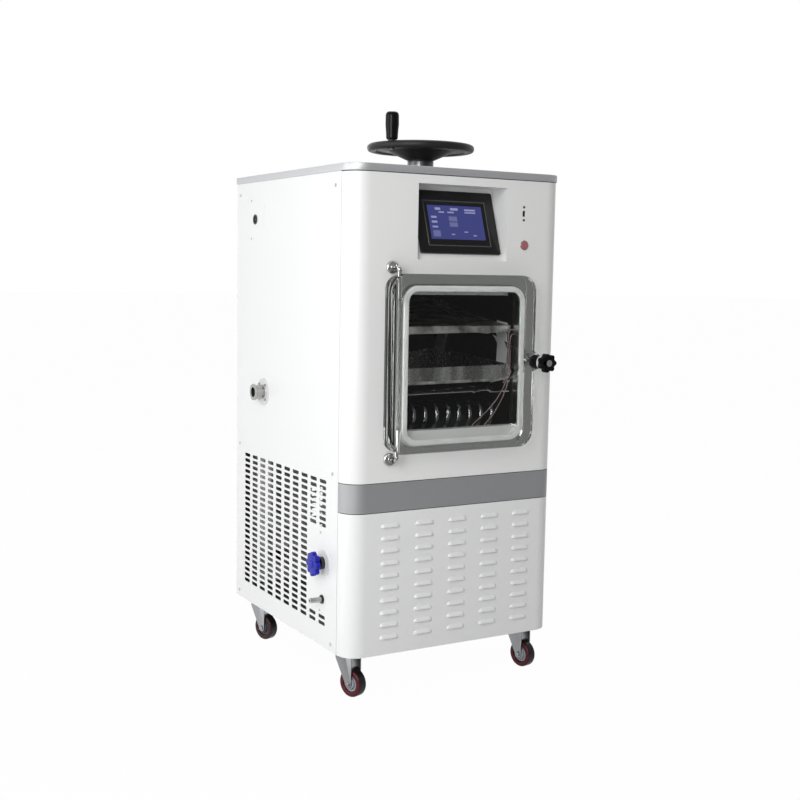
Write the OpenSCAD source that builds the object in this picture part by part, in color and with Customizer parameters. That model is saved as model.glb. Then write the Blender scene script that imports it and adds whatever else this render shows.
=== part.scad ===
// Pilot freeze dryer with a manual stoppering press, on casters.
// Axes: +X to the right seen from the front, +Y towards the rear, +Z up.
// Origin: middle of the footprint's bounding box, on the floor.

/* [Cabinet] */
// Width across the side panels
body_w = 550; // [480:1:680]
// Depth from the front panels to the rear panel
body_d = 615; // [560:1:760]
// Height of the louvred lower front panel
lower_h = 319; // [300:1:400]
// Height of the grey waist band
waist_h = 65; // [40:1:90]
// Height of the upper front fascia
upper_h = 667; // [640:1:820]
// Radius of the two front corners
corner_r = 44; // [20:1:46]
// Depth of the wrap-round front pieces
seam_y = 46; // [46:1:70]
// Thickness of the cover sheets
sheet_t = 1.5; // [1:0.1:3]
// Width of the folded edges of the covers
fold_w = 12; // [8:1:18]
// Gap between neighbouring covers
cover_gap = 1.6; // [0.5:0.1:3]
// Height of the lid
lid_h = 16; // [12:1:30]
// How far the lid stands out past the covers
lid_overhang = 2.5; // [1:0.5:8]
// Side of the square frame tubes
tube_w = 25; // [20:1:30]
// Distance of the cover screws from the front
screw_front = 73; // [68:1:90]
// Distance of the cover screws from the rear
screw_rear = 21; // [16:1:30]
// Distance of the end screws from the covers' top and bottom edges
screw_edge = 20; // [14:1:40]

/* [Casters] */
// Diameter of the wheels
wheel_d = 63; // [50:1:76]
// Width of the wheel tread
wheel_w = 24; // [18:1:32]
// Height from the floor to the underside of the cabinet
caster_h = 104; // [98:1:130]
// Distance from the kingpin back to the wheel axle
caster_trail = 20; // [16:1:26]
// Distance of the kingpins from the sides
kingpin_side = 42; // [40:1:60]
// Distance of the front kingpins from the front
kingpin_front = 75; // [70:1:110]
// Distance of the rear kingpins from the rear
kingpin_rear = 63; // [60:1:110]

/* [Chamber] */
// Inside width of the vacuum chamber
chamber_w = 289; // [240:1:348]
// Inside height of the vacuum chamber
chamber_h = 318; // [300:1:380]
// Inside depth of the vacuum chamber
chamber_d = 400; // [330:1:480]
// Wall of the vacuum chamber
chamber_wall = 4; // [3:0.5:8]
// Radius of the chamber's corners
chamber_r = 22; // [10:1:40]
// Height of the chamber floor above the waist band
chamber_up = 95; // [85:1:130]
// Shift of the chamber from the middle of the cabinet
chamber_shift = 1.5; // [-5:0.5:5]
// How far the chamber flange stands out of the fascia
flange_out = 9; // [5:1:14]
// Width of the chamber flange's face
flange_w = 14; // [12:1:20]
// Height of the weir at the chamber's mouth
weir_h = 23; // [10:1:40]
// Height of the upper shelf's top face above the chamber floor
shelf_up = 240; // [225:1:255]
// Thickness of the upper shelf
shelf_t = 16; // [10:1:22]
// Height of the lower shelf's top face above the chamber floor
lower_shelf_up = 123; // [110:1:140]
// Thickness of the lower shelf
lower_shelf_t = 6; // [4:1:10]
// Wall height of the product tray
tray_h = 29; // [15:1:45]
// Distance from the fascia to the shelves' front edges
shelf_front = 20; // [16:1:40]
// Gap between the shelves and the chamber walls
shelf_side_gap = 4; // [3:0.5:10]
// Height of the coil baffle above the chamber floor
baffle_up = 96; // [84:1:104]

/* [Condenser coil] */
// Number of turns
coil_turns = 9; // [6:1:10]
// Distance between turns
coil_pitch = 29; // [22:1:30]
// Diameter of the coil tube
coil_tube = 10; // [6:1:12]
// Radius of the bends, to the tube's middle
coil_bend = 28; // [20:1:30]

/* [Door] */
// Thickness of the clear door slab
door_t = 24; // [15:1:30]
// Door edge past the gasket on the hinge side
door_left = 21.5; // [18:0.5:26]
// Door edge past the gasket on the latch side
door_right = 21; // [16:1:40]
// Door edge above the gasket
door_over = 26; // [18:1:34]
// Door edge below the gasket
door_under = 16; // [10:1:24]
// Radius of the door's corners
door_r = 38; // [20:1:60]
// Rounding of the door's rear edges
door_edge_r = 7; // [3:0.5:8]
// Width of the gasket's face
gasket_w = 12; // [8:1:14]
// Thickness of the gasket when closed
gasket_t = 5; // [3:0.5:8]
// Diameter of the hinge pins
hinge_pin_d = 9; // [6:0.5:12]
// Depth of the hinge pins in the door
hinge_depth = 56; // [30:1:80]
// Distance of the hinge line from the chamber flange
hinge_off = 16; // [15:0.5:26]
// Distance of the hinge line in front of the fascia
hinge_out = 28; // [26:0.5:34]
// Diameter of the hinge bosses
hinge_boss_d = 28; // [20:1:36]

/* [Latch] */
// Radius of the ear that carries the latch
ear_r = 21; // [17:1:30]
// Diameter of the latch barrel
barrel_d = 32; // [24:1:36]
// Length of the latch barrel
barrel_l = 29; // [20:1:45]
// Diameter across the star knob's lobes
star_d = 43; // [34:1:60]
// Depth of the star knob
star_l = 24; // [16:1:35]
// Number of lobes on the star knob
star_lobes = 7; // [5:1:9]
// Diameter of the latch screw
latch_screw_d = 8; // [6:0.5:10]
// Height of the latch above the middle of the chamber mouth
latch_up = 5; // [-20:1:40]

/* [Control panel] */
// Width of the display recess
recess_w = 233; // [215:1:300]
// Height of the display recess
recess_h = 163; // [150:1:200]
// Distance from the top of the fascia to the recess
recess_down = 20; // [14:1:40]
// Left edge of the recess from the left side
recess_left = 162; // [120:1:200]
// Backward lean of the display
display_tilt = 18.8; // [10:0.1:25]
// Width of the display's front frame
display_w = 208; // [190:1:212]
// Height of the display's front frame along its slope
display_h = 146; // [130:1:148]
// Thickness of the display's front frame
display_t = 7; // [5:0.5:10]
// Width of the lit screen
screen_w = 143; // [120:1:154]
// Height of the lit screen
screen_h = 79; // [70:1:90]
// Diameter of the start button's ring
button_ring_d = 22; // [18:1:26]
// Travel of the start button
button_travel = 1.8; // [1:0.1:2]

/* [Stoppering press] */
// Diameter of the handwheel
handwheel_d = 248; // [160:1:260]
// Width of the handwheel's rim section
rim_w = 22; // [18:1:30]
// Height of the handwheel's rim section
rim_h = 17; // [10:1:22]
// Height of the rim's middle above the lid
rim_up = 57; // [54:1:80]
// Distance of the press screw from the front
press_y = 185; // [150:1:215]
// Diameter of the handwheel's hub and of the collar
hub_d = 64; // [50:1:80]
// Height of the collar on the lid
collar_h = 28; // [20:1:32]
// Diameter of the press screw
screw_d = 20; // [14:1:24]
// Diameter of the crank grip
grip_d = 31; // [22:1:34]
// Length of the crank grip
grip_l = 61.5; // [50:0.5:90]
// Travel of the press plate
press_travel = 45; // [20:1:50]

/* [Ventilation] */
// Columns of slots in a side panel
slot_columns = 10; // [6:1:10]
// Rows of slots in a side panel
slot_rows = 24; // [10:1:24]
// Length of a slot
slot_l = 33; // [20:1:36]
// Width of a slot
slot_w = 8.6; // [5:0.1:10]
// Distance between slot rows
slot_pitch = 14; // [12:0.5:14]
// Columns of louvres in the lower front panel
louvre_columns = 5; // [3:1:5]
// Rows of louvres in the lower front panel
louvre_rows = 10; // [5:1:10]
// Length of a louvre
louvre_l = 48; // [30:1:56]
// How far a louvre stands out
louvre_out = 4.5; // [3:0.5:6]

/* [Services] */
// Height of the vacuum port above the floor
port_z = 648; // [560:1:720]
// Distance of the vacuum port from the rear
port_rear = 167; // [120:1:200]
// Height of the drain valve above the floor
valve_z = 297; // [230:1:340]
// Distance of the drain valve from the front
valve_y = 111; // [105:1:130]
// Diameter of the drain valve's star wheel
valve_wheel_d = 55; // [40:1:70]
// Height of the drain spout above the floor
drain_z = 212; // [190:1:225]

/* [Hidden] */
$fn = 64;
eps = 0.01;
run_fit = 0.05;      // radial clearance of a turning fit
slide_gap = 0.3;     // gap between faces that move past each other
cut = 40;            // overshoot of a cutting solid

// Cabinet levels and middle
mid_x = body_w / 2;
waist_z = caster_h + lower_h;
fascia_z = waist_z + waist_h;
top_z = fascia_z + upper_h;
lid_z = top_z + lid_h;
post_front_y = screw_front - tube_w / 2;
post_rear_y = body_d - screw_rear - tube_w / 2;
pan_z = caster_h + tube_w;
pan_t = 2;
deck_z = fascia_z + 20;
deck_t = 3;

// Chamber: its own middle, floor and mouth
chamber_x = mid_x + chamber_shift;
floor_z = fascia_z + chamber_up;
ceiling_z = floor_z + chamber_h;
mouth_z = floor_z + chamber_h / 2;
flange_ow = chamber_w + 2 * flange_w;
flange_oh = chamber_h + 2 * flange_w;
flange_r = chamber_r + flange_w;
flange_left = chamber_x - flange_ow / 2;
chamber_back = chamber_d - flange_out;
shelf_w = chamber_w - 2 * shelf_side_gap;
shelf_back = chamber_back - 10;
shelf_d = shelf_back - shelf_front;
ledge_w = 12;
ledge_t = 3;
strap_w = 45;
strap_t = 2;
strap_y = shelf_front + 18;
seal_gap = 0.2;

// Door: rear face on the gasket, hinge line beside the flange
door_rear = -flange_out - seal_gap - gasket_t;
door_front = door_rear - door_t;
door_x0 = flange_left - door_left - hinge_off;
door_x1 = flange_left + flange_ow + door_right;
door_z0 = mouth_z - flange_oh / 2 - door_under;
door_z1 = mouth_z + flange_oh / 2 + door_over;
hinge_x = flange_left - hinge_off;
hinge_y = -hinge_out;
hinge_rise = 13;     // hinge arm above the door's edge
latch_x = door_x1 - 2;
latch_z = mouth_z + latch_up;
washer_t = 1.6;
knob_y = door_front - barrel_l - washer_t;
front_reach = -knob_y + star_l + 1;

// Drain valve and the furthest reach of each side
valve_wheel_out = 31;
drain_out = 31;
port_out = 28;
side_reach = max(valve_wheel_out, drain_out, port_out) + 1;
rear_reach = 3;
centre_x = (body_w + lid_overhang - side_reach) / 2;
centre_y = (body_d + rear_reach - front_reach) / 2;

// Display recess and the leaning plane in it
recess_x = recess_left + recess_w / 2;
recess_top = top_z - recess_down;
recess_bottom = recess_top - recess_h;
display_x = recess_x + 3.5;
display_foot_y = 8;
display_foot_z = recess_bottom + 15;
display_back = display_t / cos(display_tilt);
back_slope = tan(display_tilt);
back_y0 = display_foot_y + display_back - (display_foot_z - recess_bottom) * back_slope;
back_y1 = back_y0 + recess_h * back_slope;
screen_shift = -1.5;
screen_lift = 33;
frame_lift = 17;
socket_x = body_w - 110;
socket_z = top_z - 75;
button_x = body_w - 107;
button_z = top_z - 146;
button_d = button_ring_d - 4;

// Press drive
rim_z = lid_z + rim_up;
hub_z0 = lid_z + collar_h + slide_gap;
hub_z1 = rim_z - 3;
nut_d = screw_d + 10;
nut_z0 = lid_z - 8;
nut_z1 = hub_z1 - 14;
plate_t = 8;
plate_z1 = ceiling_z - 3;
press_w = chamber_w - 2 * chamber_r + 14;
ram_top = nut_z1 + 2;
dish_r = handwheel_d * 0.31;
grip_angle = 204.4;
rim_mid = handwheel_d / 2 - rim_w / 2;
grip_x = mid_x + rim_mid * cos(grip_angle);
grip_y = press_y + rim_mid * sin(grip_angle);
grip_z = rim_z + rim_h / 2 + 2;

// Side slots
slot_first_y = 120;
slot_step_y = (body_d - 70 - slot_first_y) / (slot_columns - 1);
slot_first_z = caster_h + 53;
patch_columns = 2;
patch_rows = [2, 15];

// Caster parts
wheel_r = wheel_d / 2;
axle_d = 8;
plate_w = 58;
gusset_w = 45;
caster_plate_t = 2.5;
race_d = 40;
crown_t = 3.5;
fork_gap = 2;
leg_t = 2.5;
// Angle each fork has swung to, front pair then rear pair, left then right
caster_yaw = [[18, 12], [18, 14]];
race_z = caster_h - caster_plate_t - 7;
crown_z = race_z - 1 - crown_t;

module place() translate([-centre_x, -centre_y, 0]) children();

// Flat outlines
module rounded_plate(w, h, r) {
    square([w - 2 * r, h], center = true);
    square([w, h - 2 * r], center = true);
    for (sx = [-1, 1], sy = [-1, 1]) translate([sx * (w / 2 - r), sy * (h / 2 - r)]) circle(r);
}
module obround(l, w) {
    square([l - w, w], center = true);
    for (s = [-1, 1]) translate([s * (l - w) / 2, 0]) circle(d = w);
}
// Cabinet plan, rounded at the two front corners; grow makes it larger all round
module plan(depth, grow) {
    r = corner_r + grow;
    w = body_w + 2 * grow;
    translate([-grow, -grow]) {
        translate([r, 0]) square([w - 2 * r, r + eps]);
        translate([0, r]) square([w, depth + grow - r]);
        for (x = [r, w - r]) translate([x, r]) circle(r);
    }
}
// Sheet wrapped round the front, folded in at its two rear edges
module front_wrap() {
    intersection() {
        difference() {
            plan(seam_y, 0);
            plan(seam_y + sheet_t, -sheet_t);
        }
        translate([-eps, -eps]) square([body_w + 2 * eps, seam_y + eps]);
    }
    for (x = [sheet_t - eps, body_w - sheet_t - fold_w]) {
        translate([x, seam_y - sheet_t]) square([fold_w + eps, sheet_t]);
    }
}
module rod_y(d, y0, y1) translate([0, y0, 0]) rotate([-90, 0, 0]) cylinder(h = y1 - y0, d = d);
module rod_x(d, x0, x1) translate([x0, 0, 0]) rotate([0, 90, 0]) cylinder(h = x1 - x0, d = d);
// Upright outline pushed through in Y, from y0 to y1
module slab_y(y0, y1) translate([0, y1, 0]) rotate([90, 0, 0]) linear_extrude(y1 - y0) children();
// Upright outline (Y across, Z up) pushed through in X, from x0 to x1
module slab_x(x0, x1) {
    translate([x0, 0, 0]) rotate([90, 0, 90]) linear_extrude(x1 - x0) children();
}

// ---- Frame ----
module base_frame() {
    rail_x = sheet_t;
    inner_w = body_w - 2 * sheet_t;
    color("dimgray") place() {
        for (x = [rail_x, body_w - sheet_t - tube_w]) {
            translate([x, post_front_y + tube_w, caster_h])
                cube([tube_w, post_rear_y - post_front_y - tube_w, tube_w]);
        }
        for (y = [post_front_y, post_rear_y - 1]) {
            translate([rail_x + tube_w, y, caster_h]) cube([inner_w - 2 * tube_w, tube_w + 1, tube_w]);
        }
        translate([rail_x, post_front_y + tube_w, pan_z])
            cube([inner_w, post_rear_y - post_front_y - tube_w, pan_t]);
        translate([rail_x + tube_w, post_front_y, pan_z])
            cube([inner_w - 2 * tube_w, post_rear_y - post_front_y + tube_w, pan_t]);
        // plates in the corners that the casters are screwed to
        for (x = [rail_x + tube_w - 1, body_w - rail_x - tube_w + 1 - gusset_w],
             y = [post_front_y + tube_w - 1, post_rear_y + 1 - gusset_w]) {
            translate([x, y, caster_h]) cube([gusset_w, gusset_w, 4]);
        }
    }
}
module corner_posts() {
    color("dimgray") place() {
        for (x = [sheet_t, body_w - sheet_t - tube_w], y = [post_front_y, post_rear_y]) {
            difference() {
                translate([x, y, caster_h]) cube([tube_w, tube_w, top_z - sheet_t - caster_h]);
                translate([x + 2, y + 2, caster_h + 2])
                    cube([tube_w - 4, tube_w - 4, top_z - sheet_t - caster_h - 4]);
            }
        }
    }
}
module mid_deck() {
    color("dimgray") place() difference() {
        translate([sheet_t, post_front_y, deck_z])
            cube([body_w - 2 * sheet_t, post_rear_y - post_front_y + tube_w, deck_t]);
        for (x = [0, body_w - sheet_t - tube_w - 0.5], y = [post_front_y - 1, post_rear_y - 0.5]) {
            translate([x, y, deck_z - 1]) cube([tube_w + sheet_t + 0.5, tube_w + 1.5, deck_t + 2]);
        }
    }
}

// ---- Covers ----
module slot_field(patch) {
    for (c = [0:slot_columns - 1], r = [0:slot_rows - 1]) {
        if (!patch || c >= patch_columns || r < patch_rows[0] || r > patch_rows[1]) {
            translate([slot_first_y + c * slot_step_y, slot_first_z + r * slot_pitch])
                obround(slot_l, slot_w);
        }
    }
}
module screw_points() {
    for (y = [screw_front, body_d - screw_rear], z = [caster_h + screw_edge - 3, fascia_z + 15, top_z - 29]) {
        translate([y, z]) children();
    }
}
module side_sheet(patch) {
    difference() {
        translate([seam_y + cover_gap, caster_h]) {
            square([body_d - seam_y - cover_gap, top_z - caster_h]);
        }
        slot_field(patch);
        screw_points() circle(d = 4.4);
        children();
    }
}
module side_folds(x) {
    run = body_d - seam_y - cover_gap;
    translate([x, body_d - sheet_t, caster_h]) cube([fold_w, sheet_t, top_z - caster_h]);
    translate([x, seam_y + cover_gap, caster_h]) cube([fold_w / 2, sheet_t, top_z - caster_h]);
    translate([x, seam_y + cover_gap, top_z - sheet_t]) cube([fold_w, run, sheet_t]);
}
module left_panel() {
    color("white") place() {
        // raised field round the side port
        slab_x(-1.2, eps) translate([side_port_y, side_port_z]) difference() {
            rounded_plate(114, 67, 4);
            circle(d = 21);
        }
        slab_x(0, sheet_t) side_sheet(true) {
            translate([body_d - port_rear, port_z]) circle(d = port_tube_d + 2);
            translate([side_port_y, side_port_z]) circle(d = 21);
            for (z = [side_port_z - 46, side_port_z + 46]) translate([side_port_y + 26, z]) circle(d = 3.4);
            for (q = patch_screws) translate(q) circle(d = 3.4);
            translate([valve_y, valve_z]) circle(d = 22);
            translate([valve_y + 7, drain_z]) circle(d = 12);
        }
        side_folds(sheet_t - eps);
    }
}
module right_panel() {
    color("white") place() {
        slab_x(body_w - sheet_t, body_w) side_sheet(false);
        side_folds(body_w - sheet_t - fold_w + eps);
    }
}
rear_vent_w = 200;
inlet_x = 110;
inlet_z = 200;
module rear_panel() {
    x0 = sheet_t + fold_w + cover_gap;
    color("white") place() slab_y(body_d - sheet_t, body_d) difference() {
        translate([x0, caster_h]) square([body_w - 2 * x0, top_z - caster_h]);
        for (c = [0:5], r = [0:15]) {
            translate([mid_x + 60 + (c - 2.5) * (slot_l + 9), waist_z - 60 - r * slot_pitch])
                obround(slot_l, slot_w);
        }
        translate([inlet_x, inlet_z]) rounded_plate(34, 25, 3);
        for (x = [inlet_x - 21, inlet_x + 21]) translate([x, inlet_z]) circle(d = 3.4);
        for (x = [x0 + 9, body_w - x0 - 9], z = [caster_h + screw_edge, fascia_z, top_z - screw_edge]) {
            translate([x, z]) circle(d = 4.4);
        }
    }
}
module mouth_outline(grow) {
    translate([chamber_x, mouth_z])
        rounded_plate(flange_ow + 2 * grow, flange_oh + 2 * grow, flange_r + grow);
}
module front_fascia() {
    wall = sheet_t;
    color("whitesmoke") place() {
        difference() {
            union() {
                translate([0, 0, fascia_z + cover_gap / 2])
                    linear_extrude(top_z - fascia_z - 1.5 * cover_gap) front_wrap();
                slab_x(recess_left - wall, recess_left + recess_w + wall) polygon([
                    [eps, recess_bottom - wall], [back_y0 + wall, recess_bottom - wall],
                    [back_y1 + wall, recess_top + wall], [eps, recess_top + wall]
                ]);
            }
            slab_x(recess_left, recess_left + recess_w) polygon([
                [-cut, recess_bottom], [back_y0, recess_bottom], [back_y1, recess_top], [-cut, recess_top]
            ]);
            display_plane() translate([0, 0, display_h / 2])
                slab_y(-cut, cut) square([display_w - 14, display_h - 12], center = true);
            slab_y(-cut, cut) mouth_outline(0.5);
            translate([button_x, 0, button_z]) rod_y(button_ring_d - 3, -cut, cut);
            translate([socket_x, 0, socket_z]) {
                slab_y(-cut, cut) square([6.4, 13.4], center = true);
                for (z = [-14.5, 14.5]) translate([0, 0, z]) rod_y(3.4, -cut, cut);
            }
            for (z = [hinge_top_z, hinge_bottom_z]) translate([boss_x, 0, z]) rod_y(10, -cut, cut);
            translate([latch_x, 0, latch_z]) rod_y(14, -cut, cut);
        }
    }
}
module waist_band() {
    color("slategray") place() translate([0, 0, waist_z + cover_gap / 2])
        linear_extrude(waist_h - cover_gap) front_wrap();
}
// A louvre: a pressed bulge with round ends, cut open along its lower edge
louvre_r = 11;
module louvre_bulge(grow) {
    r = louvre_r - grow;
    half = louvre_l / 2 - sqrt(louvre_r * louvre_r - pow(louvre_r - louvre_out, 2));
    translate([0, louvre_r - louvre_out, 0]) {
        rod_x(2 * r, -half, half);
        for (x = [-half, half]) translate([x, 0, 0]) sphere(r);
    }
}
louvre_step_x = (body_w - 2 * 50.5 - louvre_l * 2.1) / (louvre_columns - 1);
louvre_step_z = 27.7;
module louvre_places() {
    for (c = [0:louvre_columns - 1], r = [0:louvre_rows - 1]) {
        translate([mid_x + 5 + (c - (louvre_columns - 1) / 2) * louvre_step_x, 0,
                   waist_z - 33.5 - r * louvre_step_z]) children();
    }
}
module lower_front_panel() {
    mouth_h = 6;
    color("whitesmoke") place() difference() {
        union() {
            translate([0, 0, caster_h]) linear_extrude(lower_h - cover_gap / 2) front_wrap();
            louvre_places() intersection() {
                louvre_bulge(0);
                translate([-louvre_l, -louvre_out - 1, 0]) cube([2 * louvre_l, louvre_out + 1 + eps, louvre_r]);
            }
        }
        louvre_places() intersection() {
            louvre_bulge(sheet_t);
            translate([-louvre_l, -louvre_out - 1, -1]) cube([2 * louvre_l, louvre_out + 1 + cut / 4, louvre_r]);
        }
    }
}
module top_lid() {
    color("gray") place() difference() {
        union() {
            translate([0, 0, top_z]) linear_extrude(lid_h) plan(body_d + lid_overhang, lid_overhang);
        }
        translate([0, 0, top_z - eps]) linear_extrude(lid_h - 2 * sheet_t + eps)
            plan(body_d + lid_overhang - 2 * sheet_t, lid_overhang - 2 * sheet_t);
        translate([mid_x, press_y, top_z - 1]) cylinder(h = lid_h + 2, d = nut_d + 4);
    }
}
// Round-headed screws: the head lies on the cover, the shank goes through it
module screw_x(x, side, d = 4) {
    translate([x, 0, 0]) {
        rod_x(d, side > 0 ? -sheet_t : -eps, side > 0 ? eps : sheet_t);
        rod_x(2 * d, side > 0 ? 0 : -0.4 * d, side > 0 ? 0.4 * d : 0);
    }
}
module panel_screws() {
    rows = [caster_h + screw_edge - 3, fascia_z + 15, top_z - 29];
    x0 = sheet_t + fold_w + cover_gap;
    color("silver") place() {
        for (y = [screw_front, body_d - screw_rear], z = rows) {
            translate([0, y, z]) screw_x(0, -1);
            translate([0, y, z]) screw_x(body_w, 1);
        }
        for (q = patch_screws) translate([0, q[0], q[1]]) screw_x(0, -1, 3);
        for (z = [side_port_z - 46, side_port_z + 46]) {
            translate([0, side_port_y + 26, z]) screw_x(0, -1, 3);
        }
        for (x = [x0 + 9, body_w - x0 - 9], z = [caster_h + screw_edge, fascia_z, top_z - screw_edge]) {
            translate([x, 0, z]) {
                rod_y(4, body_d - 3, body_d);
                rod_y(8, body_d, body_d + 1.6);
            }
        }
    }
}

// ---- Control panel ----
// The display's own plane: X across, Z up the slope, front face at Y = 0
module display_plane() {
    translate([display_x, display_foot_y, display_foot_z]) rotate([-display_tilt, 0, 0]) children();
}
module display_frame() {
    body_deep = 34;
    color([0.08, 0.08, 0.08]) place() display_plane() difference() {
        union() {
            translate([0, 0, display_h / 2]) slab_y(0, display_t) rounded_plate(display_w, display_h, 4);
            translate([0, 0, display_h / 2]) slab_y(display_t - eps, display_t + body_deep)
                square([display_w - 16, display_h - 14], center = true);
            translate([0, 0, screen_lift + screen_h / 2 - 2]) slab_y(-1, eps) difference() {
                rounded_plate(screen_w + 23, screen_h + 28, 3);
                rounded_plate(screen_w + 18, screen_h + 23, 1.5);
            }
        }
        translate([screen_shift, 0, screen_lift + screen_h / 2])
            slab_y(-1, 3) square([screen_w + 0.4, screen_h + 0.4], center = true);
    }
}
module display_screen() {
    color([0.2, 0.24, 0.5]) place() display_plane()
        translate([screen_shift, 0, screen_lift + screen_h / 2])
        slab_y(1, 3) square([screen_w, screen_h], center = true);
}
module usb_socket() {
    color([0.1, 0.1, 0.1]) place() translate([socket_x, 0, socket_z]) {
        difference() {
            union() {
                slab_y(0.4, 22) square([5.8, 12.8], center = true);
                slab_y(sheet_t, sheet_t + 3) rounded_plate(12, 38, 3);
            }
            slab_y(-1, 18) square([3.8, 10.5], center = true);
            for (z = [-14.5, 14.5]) translate([0, 0, z]) rod_y(3, -1, cut);
        }
        translate([0.6, 0, 0]) slab_y(3, 18 + eps) square([1.4, 9], center = true);
        for (z = [-14.5, 14.5]) translate([0, 0, z]) {
            rod_y(5, -1.2, 0);
            rod_y(3, -eps, sheet_t + 3);
        }
    }
}
module button_ring() {
    color("silver") place() translate([button_x, 0, button_z]) difference() {
        union() {
            rod_y(button_ring_d, -2, 0);
            rod_y(button_ring_d - 3.2, -eps, 20);
        }
        rod_y(button_d + 0.4, -3, 17);
    }
}
module start_button() {
    color([0.75, 0.1, 0.15]) place() translate([button_x, 0, button_z]) rod_y(button_d, -3.5, 14);
}

// ---- Vacuum chamber ----
module chamber() {
    color("lightgray") place() {
        difference() {
            union() {
                slab_y(-flange_out, chamber_back + chamber_wall) translate([chamber_x, mouth_z])
                    rounded_plate(chamber_w + 2 * chamber_wall, chamber_h + 2 * chamber_wall,
                                  chamber_r + chamber_wall);
                slab_y(-flange_out, sheet_t + 2) mouth_outline(0);
            }
            slab_y(-flange_out - 1, chamber_back) translate([chamber_x, mouth_z])
                rounded_plate(chamber_w, chamber_h, chamber_r);
            translate([mid_x, press_y, ceiling_z - 1]) cylinder(h = chamber_wall + 2, d = screw_d + 2);
            // mouth of the vacuum pipe in the rear wall
            translate([pipe_x, 0, port_z]) rod_y(24, chamber_back - 1, chamber_back + chamber_wall + 1);
        }
        // weir across the mouth
        slab_y(3, 6) intersection() {
            translate([chamber_x, mouth_z])
                rounded_plate(chamber_w + 2 * eps, chamber_h + 2 * eps, chamber_r + eps);
            translate([chamber_x - chamber_w, floor_z - 1]) square([2 * chamber_w, weir_h + 1]);
        }
        // ledges that the upper shelf and the baffle lie on
        for (z = [shelf_bottom - ledge_t, floor_z + baffle_up - ledge_t], s = [-1, 1]) {
            translate([chamber_x + s * (chamber_w / 2 - ledge_w / 2 + eps) - ledge_w / 2,
                       strap_y + strap_w + 6, z])
                cube([ledge_w, shelf_d - 2 * (strap_y + strap_w + 6 - shelf_front), ledge_t]);
        }
        // saddles under the coil
        for (y = [90, 300]) {
            translate([chamber_x - chamber_w / 2 + chamber_r, y, floor_z - eps])
                cube([chamber_w - 2 * chamber_r, 8, coil_z - coil_bend - coil_tube / 2 - floor_z]);
        }
    }
}
shelf_top = floor_z + shelf_up;
shelf_bottom = shelf_top - shelf_t;
lower_top = floor_z + lower_shelf_up;
module upper_shelf() {
    color("silver") place() difference() {
        translate([chamber_x - shelf_w / 2, shelf_front, shelf_bottom]) cube([shelf_w, shelf_d, shelf_t]);
        // mouths of the two fluid channels, at the rear edge
        for (s = [-1, 1]) translate([chamber_x + s * 60, 0, shelf_bottom + shelf_t / 2])
            rod_y(8, shelf_back - 20, shelf_back + 1);
    }
}
module lower_shelf() {
    color("silver") place()
        translate([chamber_x - shelf_w / 2, shelf_front, lower_top - lower_shelf_t])
        cube([shelf_w, shelf_d, lower_shelf_t]);
}
module product_tray() {
    w = shelf_w - 2;
    d = shelf_d - 6;
    wall = 1.2;
    color("lightgray") place() translate([chamber_x - w / 2, shelf_front + 0.5, lower_top]) {
        difference() {
            cube([w, d, tray_h]);
            translate([wall, wall, wall]) cube([w - 2 * wall, d - 2 * wall, tray_h]);
        }
        translate([-eps, -eps, tray_h - wall]) difference() {
            cube([w, d, wall]);
            translate([4, 4, -1]) cube([w - 8, d - 8, wall + 2]);
        }
    }
}
module coil_baffle() {
    color("gray") place() translate([chamber_x - shelf_w / 2, shelf_front, floor_z + baffle_up])
        difference() {
            cube([shelf_w, shelf_d - 30, 1.5]);
            for (i = [0:6], j = [0:1]) translate([40 + i * (shelf_w - 80) / 6, 90 + j * 160, -1])
                cylinder(h = 4, d = 14);
        }
}
module shelf_straps() {
    z0 = lower_top - lower_shelf_t;
    color("silver") place()
        for (s = [-1, 1], y = [strap_y, shelf_front + shelf_back - strap_y - strap_w])
            translate([chamber_x + s * (shelf_w / 2 + strap_t / 2) - strap_t / 2, y, z0])
                cube([strap_t, strap_w, shelf_top + 3 - z0]);
}

// Condenser coil: one tube wound round two rows of bends, axis along X
coil_z = floor_z + 15 + coil_tube / 2 + coil_bend;
coil_front = shelf_front + 6 + coil_tube / 2 + coil_bend;
coil_rear = chamber_back - 30 - coil_tube / 2 - coil_bend;
bend_steps = 8;
coil_x0 = chamber_x - coil_turns * coil_pitch / 2;
half_turn = PI * coil_bend;
turn_run = 2 * (coil_rear - coil_front) + 2 * half_turn;
function coil_x(run) = coil_x0 + run / turn_run * coil_pitch;
// Points of one turn: forward along the bottom, up the front bend, back along the top, down the rear
function front_bend(t) = [for (i = [0:bend_steps]) let (a = i * 180 / bend_steps)
    [coil_x(t * turn_run + a / 180 * half_turn),
     coil_front - coil_bend * sin(a), coil_z - coil_bend * cos(a)]];
function rear_bend(t) = [for (i = [0:bend_steps]) let (a = i * 180 / bend_steps)
    [coil_x((t + 0.5) * turn_run + a / 180 * half_turn),
     coil_rear + coil_bend * sin(a), coil_z + coil_bend * cos(a)]];
coil_path = concat(
    [[coil_x0, chamber_back - 0.3, coil_z - coil_bend]],
    [for (t = [0:coil_turns - 1]) each concat(front_bend(t), t < coil_turns - 1 ? rear_bend(t) : [])],
    [[coil_x((coil_turns - 0.5) * turn_run), chamber_back - 0.3, coil_z + coil_bend]]
);
function unit(v) = v / norm(v);
function path_dir(p, i) = unit(p[min(i + 1, len(p) - 1)] - p[max(i - 1, 0)]);
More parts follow.
